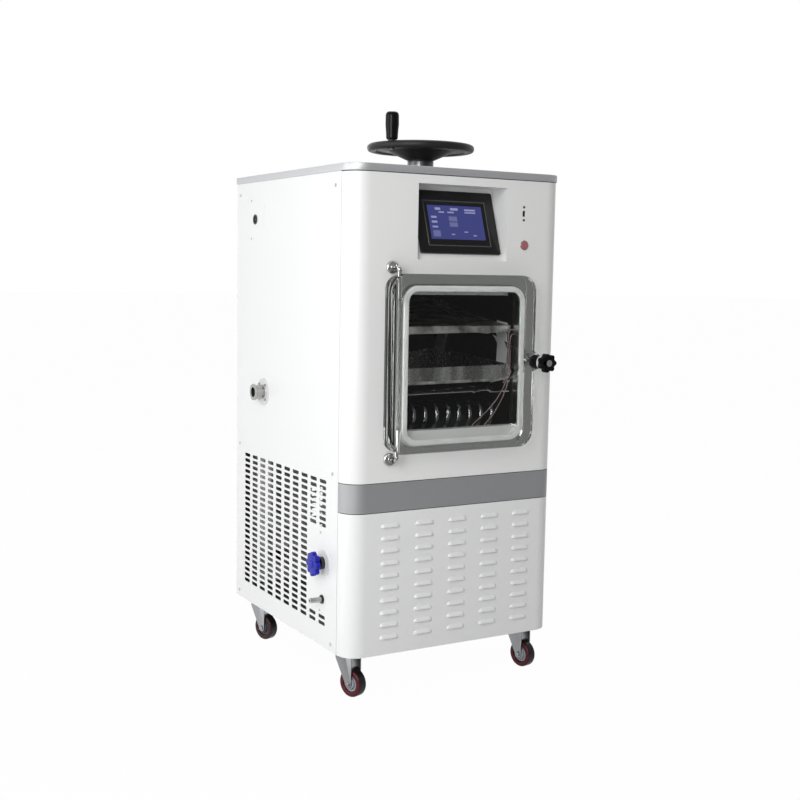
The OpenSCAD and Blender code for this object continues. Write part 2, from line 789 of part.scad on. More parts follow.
// Ring of points round a path; side is any direction that the path never follows
function ring(p, i, r, n, side) =
    let (t = path_dir(p, i), u = unit(side - (side * t) * t), v = cross(t, u))
    [for (k = [0:n - 1]) p[i] + r * (cos(360 * k / n) * u + sin(360 * k / n) * v)];
module swept_tube(p, r, n, side) {
    last = len(p) - 1;
    points = [for (i = [0:last]) each ring(p, i, r, n, side)];
    walls = [for (i = [0:last - 1], k = [0:n - 1]) each [
        [i * n + k, (i + 1) * n + k, i * n + (k + 1) % n],
        [i * n + (k + 1) % n, (i + 1) * n + k, (i + 1) * n + (k + 1) % n]]];
    near_cap = [[for (k = [0:n - 1]) k]];
    far_cap = [[for (k = [n - 1:-1:0]) last * n + k]];
    polyhedron(points = points, faces = concat(walls, near_cap, far_cap));
}
module condenser_coil() {
    color("silver") place() swept_tube(coil_path, coil_tube / 2, 8, [1, 0, 0]);
}

// Probe leads: out of a gland in the chamber wall, down beside the shelves, across in front of
// the coil and through the chamber floor behind the weir.
// Points are distances from the chamber's middle, the fascia and the chamber floor.
lead_d = 2.4;
lead_side_x = chamber_w / 2;
lead_a = [
    [-0.1, 11, 232], [-8, 11, 232], [-13, 11, 228], [-15, 11, 220], [-15.5, 11, 205], [-15, 11, 185],
    [-15, 11, 165], [-15.5, 11, 145], [-18, 11, 125], [-24, 11.5, 108], [-33, 12, 92],
    [-45, 12.5, 76], [-59, 13, 61], [-74, 14, 48], [-88, 15, 37], [-99, 16.5, 27], [-107, 19, 17],
    [-111, 22, 8], [-112, 23, 0.1]
];
lead_b = [
    [-0.1, 11, 222], [-4, 11, 222], [-8, 11, 218], [-10, 11, 210], [-10.5, 11, 195], [-10, 11, 175],
    [-10, 11, 155], [-11, 11, 135], [-14, 11, 116], [-20, 11.5, 98], [-28, 12, 80],
    [-38, 12.5, 63], [-48, 13.5, 48], [-58, 15, 36], [-67, 17, 26], [-74, 19.5, 16],
    [-78, 22, 8], [-79, 23, 0.1]
];
module probe_leads() {
    shift = [chamber_x + lead_side_x, 0, floor_z];
    color([0.45, 0.3, 0.3]) place() {
        swept_tube([for (q = lead_a) q + shift], lead_d / 2, 8, [0, 1, 0]);
        swept_tube([for (q = lead_b) q + shift], lead_d / 2, 8, [0, 1, 0]);
    }
}

// ---- Door ----
hinge_top_z = door_z1 + hinge_rise;
hinge_bottom_z = door_z0 - hinge_rise;
boss_x = hinge_x - 4.5;
boss_l = 8;
module door_outline(grow) {
    w = door_x1 - door_x0;
    h = door_z1 - door_z0;
    translate([door_x0 + w / 2, door_z0 + h / 2])
        rounded_plate(w + 2 * grow, h + 2 * grow, door_r + grow);
    translate([latch_x, latch_z]) circle(ear_r + grow);
}
module door_slab() {
    color([0.85, 0.9, 0.92, 0.4]) place() difference() {
        slab_y(door_front, door_rear) door_outline(0);
        // round along the rear edge that swings past the flange
        translate([door_x0, door_rear - door_edge_r, door_z0 - 1])
            linear_extrude(door_z1 - door_z0 + 2) difference() {
                translate([-1, 0]) square([door_edge_r + 1, door_edge_r + 1]);
                translate([door_edge_r, 0]) circle(door_edge_r);
            }
        for (z = [door_z1 - hinge_depth - 1, door_z0 - 1]) {
            translate([hinge_x, hinge_y, z]) cylinder(h = hinge_depth + 2, d = hinge_pin_d + 2 * run_fit);
        }
        translate([latch_x, 0, latch_z]) rod_y(latch_screw_d + 2 * run_fit, door_front - 1, door_rear + 1);
    }
}
module door_gasket() {
    ow = chamber_w + 2 + 2 * gasket_w;
    oh = chamber_h + 2 + 2 * gasket_w;
    color("white") place() slab_y(door_rear, door_rear + gasket_t) difference() {
        translate([chamber_x, mouth_z]) rounded_plate(ow, oh, chamber_r + gasket_w + 1);
        translate([chamber_x, mouth_z]) rounded_plate(chamber_w + 2, chamber_h + 2, chamber_r + 1);
    }
}
// A hinge pin: boss on the fascia, arm out to the hinge line, leg down into the door
module hinge_pin() {
    arm_x = hinge_x - boss_x;
    arm_y = hinge_out - boss_l;
    reach = norm([arm_x, arm_y]);
    bend = 7;
    leg_l = hinge_rise + hinge_depth - bend;
    translate([boss_x, 0, 0]) {
        rod_y(hinge_boss_d - 4, -boss_l, -2);
        rod_y(hinge_boss_d, -boss_l + 2, 0);
        rod_y(8, -eps, 9);
    }
    translate([boss_x, -boss_l, 0]) rotate([0, 0, atan(arm_x / arm_y)]) {
        rod_y(hinge_pin_d, bend - reach - 0.5, 2);
        translate([0, bend - reach, -bend]) rotate([180, -90, 0])
            rotate_extrude(angle = 90) translate([bend, 0]) circle(d = hinge_pin_d + 0.4);
    }
    translate([hinge_x, hinge_y, -bend - leg_l]) cylinder(h = leg_l + 0.5, d = hinge_pin_d);
}
module hinge_pin_top() {
    color("silver") place() translate([0, 0, hinge_top_z]) hinge_pin();
}
module hinge_pin_bottom() {
    color("silver") place() translate([0, 0, hinge_bottom_z]) mirror([0, 0, 1]) hinge_pin();
}

// ---- Latch ----
module latch_barrel() {
    color([0.06, 0.06, 0.06]) place() translate([latch_x, 0, latch_z]) difference() {
        rod_y(barrel_d, door_front - barrel_l, door_front);
        rod_y(latch_screw_d + 2 * run_fit, door_front - barrel_l - 1, door_front + 1);
    }
}
module latch_washer() {
    y1 = door_front - barrel_l;
    color("white") place() translate([latch_x, 0, latch_z]) difference() {
        rod_y(barrel_d + 2, y1 - washer_t, y1);
        rod_y(latch_screw_d + 2 * run_fit, y1 - washer_t - 1, y1 + 1);
    }
}
module star_outline(d, lobes, lobe_d) {
    circle(d = d - lobe_d * 0.7);
    for (i = [0:lobes - 1]) rotate(i * 360 / lobes) translate([(d - lobe_d) / 2, 0]) circle(d = lobe_d);
}
module latch_knob() {
    color([0.06, 0.06, 0.06]) place() translate([latch_x, 0, latch_z]) difference() {
        union() {
            rod_y(star_d * 0.62, knob_y - star_l * 0.35, knob_y);
            slab_y(knob_y - star_l, knob_y - star_l * 0.3) star_outline(star_d, star_lobes, star_d * 0.26);
        }
        rod_y(latch_screw_d, knob_y - star_l + 2, knob_y + 1);
        rod_y(15, knob_y - star_l - 1, knob_y - star_l + 2 + eps);
    }
}
module latch_screw() {
    color("silver") place() translate([latch_x, 0, latch_z]) {
        rod_y(latch_screw_d, knob_y - star_l + 2, 8);
        rod_y(15, knob_y - star_l - 1, knob_y - star_l + 2);
    }
}
module latch_insert() {
    color("silver") place() translate([latch_x, 0, latch_z]) difference() {
        union() {
            rod_y(13.6, 0, 14);
            rod_y(20, -1.5, 0);
        }
        rod_y(latch_screw_d + 2.4, -3, 12);
    }
}

// ---- Stoppering press ----
// Half section of the dished web between the hub and the rim
module dished_web() polygon([
    [nut_d / 2 + 4, hub_z0 + 2], [hub_d / 2, hub_z0 + 2], [dish_r, rim_z - 7],
    [rim_mid, rim_z - 4], [rim_mid, rim_z + 1], [dish_r, rim_z - 1.5],
    [hub_d / 2 + 4, hub_z1 - 6], [nut_d / 2 + 4, hub_z1 - 6]
]);
module handwheel() {
    color([0.08, 0.08, 0.08]) place() translate([mid_x, press_y, 0]) difference() {
        union() {
            translate([0, 0, hub_z0]) cylinder(h = hub_z1 - hub_z0, d = hub_d - 4);
            rotate_extrude() dished_web();
            translate([0, 0, rim_z]) rotate_extrude() translate([rim_mid, 0])
                rounded_plate(rim_w, rim_h, min(rim_w, rim_h) / 2 - 0.5);
            translate([grip_x - mid_x, grip_y - press_y, rim_z]) cylinder(h = rim_h / 2 + 1, d = 17);
        }
        translate([0, 0, hub_z0 - 1]) cylinder(h = nut_z1 - hub_z0 + 1, d = nut_d);
        translate([0, 0, nut_z1 - eps]) cylinder(h = 6, d = screw_d + 3);
        translate([grip_x - mid_x, grip_y - press_y, rim_z - rim_h]) cylinder(h = 2 * rim_h, d = 8);
    }
}
module drive_nut() {
    color("goldenrod") place() translate([mid_x, press_y, nut_z0]) difference() {
        cylinder(h = nut_z1 - nut_z0, d = nut_d);
        translate([0, 0, -1]) cylinder(h = nut_z1 - nut_z0 + 2, d = screw_d + 4 * run_fit);
    }
}
module drive_collar() {
    color("silver") place() translate([mid_x, press_y, lid_z]) difference() {
        union() {
            cylinder(h = collar_h, d = hub_d - 2);
            cylinder(h = 6, d = hub_d + 14);
        }
        translate([0, 0, -1]) cylinder(h = collar_h + 2, d = nut_d + 2 * run_fit);
    }
}
module drive_column() {
    z0 = ceiling_z + chamber_wall;
    z1 = lid_z - 2 * sheet_t;
    color("silver") place() translate([mid_x, press_y, 0]) difference() {
        union() {
            translate([0, 0, z0]) cylinder(h = 10, d = 100);
            translate([0, 0, z0]) cylinder(h = z1 - z0, d = 52);
        }
        translate([0, 0, z0 - 1]) cylinder(h = 32, d = screw_d + 2 * run_fit);
        translate([0, 0, z0 + 30]) cylinder(h = z1 - z0, d = nut_d + 4);
    }
}
module press_ram() {
    color("silver") place() translate([mid_x, press_y, plate_z1])
        cylinder(h = ram_top - plate_z1, d = screw_d);
}
module press_plate() {
    color("silver") place() translate([chamber_x - press_w / 2, shelf_front, plate_z1 - plate_t])
        cube([press_w, shelf_d, plate_t]);
}
module grip_bolt() {
    color("silver") place() translate([grip_x, grip_y, 0]) {
        translate([0, 0, rim_z - rim_h / 2 - 3]) cylinder(h = 3, d = 13);
        translate([0, 0, rim_z - rim_h / 2 - eps]) cylinder(h = grip_z - rim_z + rim_h / 2 + grip_l - 8, d = 8);
        translate([0, 0, rim_z + rim_h / 2 + 1]) cylinder(h = 0.7, d = 11);
    }
}
module crank_grip() {
    color([0.08, 0.08, 0.08]) place() translate([grip_x, grip_y, grip_z]) difference() {
        rotate_extrude() polygon([
            [0, 0], [grip_d * 0.36, 0], [grip_d * 0.43, 3], [grip_d * 0.45, grip_l * 0.25],
            [grip_d * 0.5, grip_l * 0.55], [grip_d * 0.49, grip_l * 0.86], [grip_d * 0.45, grip_l * 0.94],
            [grip_d * 0.36, grip_l * 0.985], [grip_d * 0.2, grip_l], [0, grip_l]
        ]);
        translate([0, 0, -1]) cylinder(h = grip_l - 6, d = 8 + 2 * run_fit);
    }
}

// ---- Services on the left side ----
patch_screws = [[valve_y + 18, valve_z + 65], [valve_y + 19, drain_z - 28]];
side_port_y = body_d - 115;
side_port_z = top_z - 90;
pipe_x = chamber_x - chamber_w / 2 + 50;
port_tube_d = 34;
module vacuum_port() {
    color("silver") place() translate([0, body_d - port_rear, port_z]) difference() {
        union() {
            rod_x(66, -3, 0);
            rod_x(port_tube_d, -port_out, 4);
            rod_x(28, 4 - eps, pipe_x);
            translate([pipe_x, 0, 0]) {
                sphere(d = 28);
                rod_y(28, chamber_back + chamber_wall - body_d + port_rear, 0);
            }
            translate([-port_out, 0, 0]) rod_x(40, 0, 3);
            translate([-port_out + 3 - eps, 0, 0]) rotate([0, 90, 0]) cylinder(h = 2, d1 = 40, d2 = port_tube_d);
            for (a = [45:90:315]) rotate([a, 0, 0]) translate([0, 25, 0]) rod_x(6.5, -6, -3 + eps);
        }
        rod_x(24, -port_out - 1, pipe_x);
        translate([pipe_x, 0, 0]) {
            sphere(d = 24);
            rod_y(24, chamber_back + chamber_wall - body_d + port_rear - 1, 0);
        }
    }
}
module side_port() {
    color([0.1, 0.1, 0.1]) place() translate([0, side_port_y, side_port_z]) {
        difference() {
            union() {
                rod_x(24, -2.7, -1.2);
                rod_x(20.6, -1.2 - eps, 18);
            }
            rod_x(16, -4, 12);
        }
        rod_x(8, -2, 12 + eps);
    }
}
module valve_body() {
    color("dimgray") place() translate([0, valve_y, valve_z]) difference() {
        union() {
            rod_x(60, -2, 0);
            rod_x(29, -12, 0);
            rod_x(21.5, -eps, 40);
            translate([40 - eps, 0, 0]) rod_x(30, 0, 30);
        }
        rod_x(10 + 2 * run_fit, -13, 20);
    }
}
module valve_wheel() {
    color([0.15, 0.18, 0.7]) place() translate([0, valve_y, valve_z]) {
        translate([-valve_wheel_out, 0, 0]) rotate([90, 0, 90]) linear_extrude(10)
            star_outline(valve_wheel_d, 8, valve_wheel_d * 0.3);
        rod_x(18, -valve_wheel_out + 10 - eps, -13);
        rod_x(10, -13 - eps, 18);
        rod_x(16, -valve_wheel_out - 1, -valve_wheel_out + eps);
    }
}
module drain_spout() {
    color("silver") place() translate([0, valve_y + 7, drain_z]) difference() {
        union() {
            rod_x(20, -2.5, 0);
            rod_x(11.4, -drain_out, -2);
            rod_x(8, -3, 30);
            for (x = [-drain_out : 6 : -drain_out + 18]) translate([x + 1, 0, 0])
                rotate([0, 90, 0]) cylinder(h = 4.5, d1 = 11.4, d2 = 13.2);
        }
        rod_x(5.6, -drain_out - 1, 31);
    }
}
module power_inlet() {
    color([0.08, 0.08, 0.08]) place() translate([inlet_x, 0, inlet_z]) {
        difference() {
            union() {
                slab_y(body_d, body_d + rear_reach) rounded_plate(52, 30, 4);
                slab_y(body_d - 26, body_d + eps) rounded_plate(33, 24, 3);
            }
            slab_y(body_d - 18, body_d + rear_reach + 1) rounded_plate(27, 18, 2.5);
            for (x = [-21, 21]) translate([x, 0, 0]) rod_y(3.4, body_d - 1, body_d + rear_reach + 1);
        }
        for (x = [-7, 0, 7]) translate([x, 0, x == 0 ? 3 : -2])
            slab_y(body_d - 18 - eps, body_d - 3) square([2, 6], center = true);
    }
}

// ---- Refrigeration unit in the lower compartment ----
compressor_x = 380;
fan_y = 122;
fan_x = 250;
fan_z = caster_h + 170;
module compressor() {
    color([0.1, 0.1, 0.1]) place() translate([compressor_x, body_d - 230, pan_z + pan_t]) {
        rotate_extrude() polygon([
            [0, 18], [70, 18], [84, 30], [86, 40], [86, 118], [88, 120], [88, 130], [84, 132],
            [84, 205], [74, 232], [50, 248], [0, 254]
        ]);
        for (sx = [-1, 1], sy = [-1, 1]) translate([sx * 70, sy * 60, 0]) cylinder(h = 20, d = 24);
        translate([-88, -76, 18]) cube([176, 152, 4]);
    }
}
// A foam-covered pipe: down from the deck, across, and forward into the compressor's shell.
// x and y give the riser, z the height of the run, end_x the place where it turns forward.
pipe_r = 12;
pipe_bend = 26;
module insulated_pipe(x, y, z, end_x) {
    shell_y = body_d - 230 + sqrt(pow(86, 2) - pow(end_x - compressor_x, 2)) + 4;
    bend_d = 2 * pipe_r + 0.4;
    translate([x, y, z + pipe_bend - 0.5]) cylinder(h = deck_z - z - pipe_bend + 0.5, r = pipe_r);
    translate([x + pipe_bend, y, z + pipe_bend]) rotate([-90, 0, 0]) rotate([0, 0, 90])
        rotate_extrude(angle = 90) translate([pipe_bend, 0]) circle(d = bend_d);
    translate([0, y, z]) rod_x(2 * pipe_r, x + pipe_bend - 0.5, end_x - pipe_bend + 0.5);
    translate([end_x - pipe_bend, y - pipe_bend, z])
        rotate_extrude(angle = 90) translate([pipe_bend, 0]) circle(d = bend_d);
    translate([end_x, 0, z]) rod_y(2 * pipe_r, shell_y, y - pipe_bend + 0.5);
}
module insulated_pipes() {
    color("white") place() {
        insulated_pipe(42, body_d - 85, pan_z + 111, compressor_x);
        insulated_pipe(42, body_d - 113, pan_z + 175, compressor_x - 40);
    }
}
fin_w = 240;
fin_h = 230;
module condenser_fins() {
    fin_step = 8;
    y0 = 84;
    depth = 28;
    cowl = 18;
    color("gray") place() translate([fan_x, 0, fan_z - fin_h / 2]) {
        translate([-fin_w / 2, y0, 0]) linear_extrude(fin_h) {
            for (x = [0:fin_step:fin_w - 1]) translate([x, 0]) square([1, depth]);
            translate([0, depth / 2 - 4]) square([fin_w, 8]);
            translate([fin_w - 1, 0]) square([1, depth]);
        }
        translate([0, 0, fin_h / 2]) difference() {
            slab_y(y0 + depth - eps, y0 + depth + cowl) square([fin_w, fin_h], center = true);
            rod_y(206, y0 + depth - 1, y0 + depth + cowl + 1);
        }
        // motor bridge across the cowl
        translate([-fin_w / 2, y0 + depth + cowl - eps, fin_h / 2 - 10]) cube([fin_w, 3, 20]);
        translate([0, 0, fin_h / 2]) rod_y(60, y0 + depth + cowl, y0 + depth + cowl + 50);
        for (x = [-fin_w / 2, fin_w / 2 - 12]) translate([x, y0, pan_z + pan_t - (fan_z - fin_h / 2)])
            cube([12, depth, fan_z - fin_h / 2 - pan_z - pan_t + eps]);
    }
}
module fan_rotor() {
    hub_y0 = 84 + 28 + 2;
    hub_y1 = 84 + 28 + 18 - 1;
    color("silver") place() translate([fan_x, 0, fan_z]) {
        rod_y(56, hub_y0, hub_y1);
        for (a = [0:72:288]) rotate([0, a, 0]) translate([0, (hub_y0 + hub_y1) / 2, 60])
            rotate([0, 0, 24]) cube([34, 1.6, 76], center = true);
    }
}

// ---- Casters ----
module caster_plates() {
    color("silver") place()
        for (x = [kingpin_side, body_w - kingpin_side], y = [kingpin_front, body_d - kingpin_rear])
            translate([x, y, 0]) {
                translate([-plate_w / 2, -plate_w / 2, caster_h - caster_plate_t])
                    cube([plate_w, plate_w, caster_plate_t]);
                translate([0, 0, race_z]) cylinder(h = caster_h - caster_plate_t - race_z + eps, d = race_d);
                translate([0, 0, crown_z - slide_gap - 3]) cylinder(h = race_z - crown_z + slide_gap + 3 + eps, d = 10);
                translate([0, 0, crown_z - slide_gap - 3]) cylinder(h = 3, d = 15);
            }
}
// Fork with its axle bolt; the wheel trails towards the front
module fork() {
    inner = wheel_w / 2 + fork_gap;
    axle_y = -caster_trail;
    lobe = 9;
    color("silver") {
        difference() {
            union() {
                translate([-inner - leg_t, axle_y - lobe, crown_z])
                    cube([2 * (inner + leg_t), caster_trail + lobe + 20, crown_t]);
                translate([0, 0, crown_z]) cylinder(h = crown_t, d = race_d);
            }
            translate([0, 0, crown_z - 1]) cylinder(h = crown_t + 2, d = 10 + 2 * run_fit);
        }
        for (x = [-inner - leg_t, inner]) slab_x(x, x + leg_t) {
            polygon([
                [axle_y - lobe, wheel_r], [axle_y - lobe, crown_z + 1], [20, crown_z + 1],
                [20, crown_z - 6], [axle_y + lobe * 0.9, wheel_r - lobe * 0.4]
            ]);
            translate([axle_y, wheel_r]) circle(lobe);
        }
        translate([0, axle_y, wheel_r]) {
            rod_x(axle_d, -inner - leg_t - 4, inner + leg_t + 4);
            for (x = [-inner - leg_t - 4, inner + leg_t]) rotate([0, 90, 0]) translate([0, 0, x])
                cylinder(h = 4, d = 13, $fn = 6);
        }
    }
}
// Wheel: core with a side hollow and a tread with round shoulders
module wheel() {
    r = wheel_r;
    w = wheel_w;
    shoulder = 5;
    color([0.5, 0.08, 0.14]) translate([0, -caster_trail, wheel_r]) rotate([0, 90, 0]) difference() {
        rotate_extrude() {
            translate([axle_d / 2 + run_fit, -w / 2 - 1]) square([9, w + 2]);
            translate([axle_d / 2 + run_fit, -w / 2 + 5]) square([r - 10, w - 10]);
            translate([r - 12, -w / 2]) square([12 - shoulder, w]);
            translate([r - 12, -w / 2 + shoulder]) square([12, w - 2 * shoulder]);
            for (z = [-w / 2 + shoulder, w / 2 - shoulder]) translate([r - shoulder, z]) circle(shoulder);
        }
    }
}
module at_caster(ix, iy) {
    x = ix == 0 ? kingpin_side : body_w - kingpin_side;
    y = iy == 0 ? kingpin_front : body_d - kingpin_rear;
    place() translate([x, y, 0]) rotate([0, 0, caster_yaw[iy][ix]]) children();
}

base_frame();
corner_posts();
mid_deck();
left_panel();
right_panel();
rear_panel();
front_fascia();
waist_band();
lower_front_panel();
top_lid();
panel_screws();
display_frame();
display_screen();
usb_socket();
button_ring();
start_button();
chamber();
upper_shelf();
lower_shelf();
product_tray();
coil_baffle();
shelf_straps();
condenser_coil();
probe_leads();
door_slab();
door_gasket();
hinge_pin_top();
hinge_pin_bottom();
latch_barrel();
latch_washer();
latch_knob();
latch_screw();
latch_insert();
handwheel();
crank_grip();
grip_bolt();
drive_nut();
drive_collar();
drive_column();
press_ram();
press_plate();
vacuum_port();
side_port();
valve_body();
valve_wheel();
drain_spout();
power_inlet();
compressor();
insulated_pipes();
condenser_fins();
fan_rotor();
caster_plates();
at_caster(0, 0) fork();  // fork_front_left
at_caster(1, 0) fork();  // fork_front_right
at_caster(0, 1) fork();  // fork_rear_left
at_caster(1, 1) fork();  // fork_rear_right
at_caster(0, 0) wheel();  // wheel_front_left
at_caster(1, 0) wheel();  // wheel_front_right
at_caster(0, 1) wheel();  // wheel_rear_left
at_caster(1, 1) wheel();  // wheel_rear_right
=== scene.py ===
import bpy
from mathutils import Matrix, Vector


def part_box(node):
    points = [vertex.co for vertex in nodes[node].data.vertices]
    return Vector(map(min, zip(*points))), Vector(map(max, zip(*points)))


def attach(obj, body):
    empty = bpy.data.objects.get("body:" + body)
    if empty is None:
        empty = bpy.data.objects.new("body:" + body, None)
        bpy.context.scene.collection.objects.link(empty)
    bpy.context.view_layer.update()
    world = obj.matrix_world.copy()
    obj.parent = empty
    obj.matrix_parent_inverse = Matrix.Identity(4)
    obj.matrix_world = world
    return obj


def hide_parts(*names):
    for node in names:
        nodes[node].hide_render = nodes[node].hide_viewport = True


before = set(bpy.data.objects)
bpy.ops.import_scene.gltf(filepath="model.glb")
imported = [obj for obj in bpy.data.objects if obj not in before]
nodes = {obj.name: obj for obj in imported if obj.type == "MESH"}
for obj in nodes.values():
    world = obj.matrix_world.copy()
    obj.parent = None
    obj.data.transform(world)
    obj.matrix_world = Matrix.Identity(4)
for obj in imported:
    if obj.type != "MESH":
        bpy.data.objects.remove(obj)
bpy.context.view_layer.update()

# %% Modules and units
import math

import bmesh
import bpy
from mathutils import Matrix, Vector

MM = 0.001
print("one millimetre is", MM, "of Blender's units")

# %% [markdown]
# ## Camera
# A product picture is taken from a step back with a slightly long lens, so upright edges stay nearly
# upright. The camera stands in front and to the left, a little above the middle of the cabinet.
# %% Camera
camera_place = Vector((-1.45015, -2.5232, 0.9473))
camera_data = bpy.data.cameras.new("studio_camera")
camera_data.lens = 54.56
camera_data.sensor_width = 36.0
camera = bpy.data.objects.new("studio_camera", camera_data)
bpy.context.scene.collection.objects.link(camera)
yaw, tilt, roll = math.radians(30.168), math.radians(-6.093), math.radians(0.999)
ahead = Vector((math.sin(yaw) * math.cos(tilt), math.cos(yaw) * math.cos(tilt), math.sin(tilt)))
level = Vector((math.cos(yaw), -math.sin(yaw), 0.0))
upward = level.cross(ahead)
right = math.cos(roll) * level + math.sin(roll) * upward
above = -math.sin(roll) * level + math.cos(roll) * upward
facing = Matrix((right, above, -ahead)).transposed().to_4x4()
camera.matrix_world = Matrix.Translation(camera_place) @ facing
bpy.context.scene.camera = camera
print("camera at", [round(v, 3) for v in camera_place])

# %% [markdown]
# ## Light
# A white cabinet needs light that is even but not flat: a large lamp from the left makes the side the
# brightest face, a second one lights the left front corner, so that the front falls off a little towards
# the right, and a weak lamp from the right keeps the far edge readable. Two more light the lid and the
# rear. Each lamp is a rectangle that the camera doesn't see.
# %% Lamps
def area_lamp(name, place, target, size, watts):
    data = bpy.data.lights.new(name, "AREA")
    data.shape = "RECTANGLE"
    data.size, data.size_y = size
    data.energy = watts
    lamp = bpy.data.objects.new(name, data)
    lamp.visible_camera = False
    bpy.context.scene.collection.objects.link(lamp)
    towards = (Vector(target) - Vector(place)).to_track_quat("-Z", "Y")
    lamp.matrix_world = Matrix.Translation(Vector(place)) @ towards.to_matrix().to_4x4()
    return lamp


area_lamp("side_lamp", place=(-3.0, 0.3, 0.9), target=(0, 0, 0.50), size=(2.2, 2.4), watts=33.5)
area_lamp("corner_lamp", place=(-1.9, -1.75, 1.45), target=(0.0, -0.2, 0.7), size=(1.0, 1.4), watts=37)
area_lamp("fill_lamp", place=(2.6, -1.6, 1.4), target=(0, 0, 0.7), size=(1.6, 1.6), watts=2)
area_lamp("top_lamp", place=(0.2, 0.4, 3.2), target=(0, 0, 0.9), size=(2.0, 2.0), watts=16)
area_lamp("rear_lamp", place=(0.8, 3.2, 1.6), target=(0, 0, 0.7), size=(2.0, 2.0), watts=30)
print("five lamps")

# %% [markdown]
# ## Helpers for node trees
# The world and every material are trees of nodes, and a few nodes come back in all of them. Map Range turns
# one stretch of numbers into another, Math and Vector Math work on what comes in, and the Mix nodes go from
# one colour or shader to a second. Each helper makes its node, fills it in and returns its result.
# %% Helpers for node trees
def ramp(tree, source, start=0.0, end=1.0, low=0.0, high=1.0):
    span = tree.nodes.new("ShaderNodeMapRange")
    for socket, value in (("From Min", start), ("From Max", end), ("To Min", low), ("To Max", high)):
        span.inputs[socket].default_value = value
    tree.links.new(source, span.inputs["Value"])
    return span.outputs[0]


def calculate(tree, operation, first, second=0.0):
    node = tree.nodes.new("ShaderNodeMath")
    node.operation = operation
    for socket, value in zip(node.inputs, (first, second)):
        if isinstance(value, float):
            socket.default_value = value
        else:
            tree.links.new(value, socket)
    return node.outputs[0]


def calculate_vector(tree, operation, source, value=(0, 0, 0)):
    node = tree.nodes.new("ShaderNodeVectorMath")
    node.operation = operation
    node.inputs[1].default_value = value
    tree.links.new(source, node.inputs[0])
    return node.outputs["Value" if operation == "LENGTH" else "Vector"]


def mix_colours(tree, chooser, first, second):
    mix = tree.nodes.new("ShaderNodeMix")
    mix.data_type = "RGBA"
    tree.links.new(chooser, mix.inputs[0])
    for socket, colour in zip((mix.inputs[6], mix.inputs[7]), (first, second)):
        if isinstance(colour, tuple):
            socket.default_value = (*colour, 1)
        else:
            tree.links.new(colour, socket)
    return mix.outputs[2]


def mix_shaders(tree, chooser, first, second):
    mix = tree.nodes.new("ShaderNodeMixShader")
    for socket, source in zip(mix.inputs, (chooser, first, second)):
        tree.links.new(source, socket)
    return mix.outputs[0]


print("node helpers ready")

# %% [markdown]
# ## World
# The world gives a weak pale light, and the camera sees it as plain white. Metal and glass show that white
# wall behind the cabinet, and a dimmer room in front of it, so the mirrored world gets darker towards the
# front. Light Path tells which kind of ray asks.
# %% World
world = bpy.data.worlds.new("studio_world")
bpy.context.scene.world = world
world.use_nodes = True
tree = world.node_tree
tree.nodes.clear()
out = tree.nodes.new("ShaderNodeOutputWorld")
light_path = tree.nodes.new("ShaderNodeLightPath")
direction = tree.nodes.new("ShaderNodeTexCoord")
parts = tree.nodes.new("ShaderNodeSeparateXYZ")
tree.links.new(direction.outputs["Generated"], parts.inputs[0])


def sky(colour, axis, start, end, low, high):
    glow = tree.nodes.new("ShaderNodeBackground")
    glow.inputs["Color"].default_value = (*colour, 1)
    tree.links.new(ramp(tree, parts.outputs[axis], start, end, low, high), glow.inputs["Strength"])
    return glow.outputs[0]


room = sky((1.0, 0.995, 0.98), "Z", start=-0.1, end=0.7, low=0.15, high=0.46)
mirrored = sky((1, 1, 1), "Y", start=-0.35, end=0.30, low=0.24, high=1.0)
plain = tree.nodes.new("ShaderNodeBackground")
plain.inputs["Color"].default_value = (1, 1, 1, 1)
in_metal = light_path.outputs["Is Glossy Ray"]
in_glass = light_path.outputs["Is Transmission Ray"]
shown = mix_shaders(tree, calculate(tree, "MAXIMUM", in_metal, in_glass), room, mirrored)
seen = mix_shaders(tree, light_path.outputs["Is Camera Ray"], shown, plain.outputs[0])
tree.links.new(seen, out.inputs[0])
bpy.context.scene.view_settings.view_transform = "Standard"
print("world set")

# %% [markdown]
# ## Building blocks of a finish
# Every finish here is a Principled shader with small changes of colour, roughness and height over the
# surface. The helpers below make those changes from noise in Object coordinates, so a pattern stays put
# on its piece and has its real size in metres. Noise seldom leaves the stretch from 0.3 to 0.7.
# %% Helpers for finishes
NOISE_LOW, NOISE_HIGH = 0.3, 0.7


def new_finish(name, **sockets):
    made = bpy.data.materials.new(name)
    made.use_nodes = True
    tree = made.node_tree
    tree.nodes.clear()
    shader = tree.nodes.new("ShaderNodeBsdfPrincipled")
    out = tree.nodes.new("ShaderNodeOutputMaterial")
    tree.links.new(shader.outputs[0], out.inputs[0])
    for socket, value in sockets.items():
        shader.inputs[socket.replace("_", " ")].default_value = value
    return made, tree, shader


def object_noise(tree, scale, stretch=(1, 1, 1), detail=2.0):
    place = tree.nodes.new("ShaderNodeTexCoord")
    mapping = tree.nodes.new("ShaderNodeMapping")
    mapping.inputs["Scale"].default_value = stretch
    noise = tree.nodes.new("ShaderNodeTexNoise")
    noise.inputs["Scale"].default_value = scale
    noise.inputs["Detail"].default_value = detail
    tree.links.new(place.outputs["Object"], mapping.inputs["Vector"])
    tree.links.new(mapping.outputs[0], noise.inputs["Vector"])
    return noise.outputs["Fac"]


def vary(tree, source, low, high, socket):
    tree.links.new(ramp(tree, source, NOISE_LOW, NOISE_HIGH, low, high), socket)


def vary_colour(tree, source, first, second, shader):
    tree.links.new(mix_colours(tree, source, first, second), shader.inputs["Base Color"])


def raise_surface(tree, source, height, shader):
    bump = tree.nodes.new("ShaderNodeBump")
    bump.inputs["Strength"].default_value = 1.0
    bump.inputs["Distance"].default_value = height
    tree.links.new(source, bump.inputs["Height"])
    tree.links.new(bump.outputs[0], shader.inputs["Normal"])


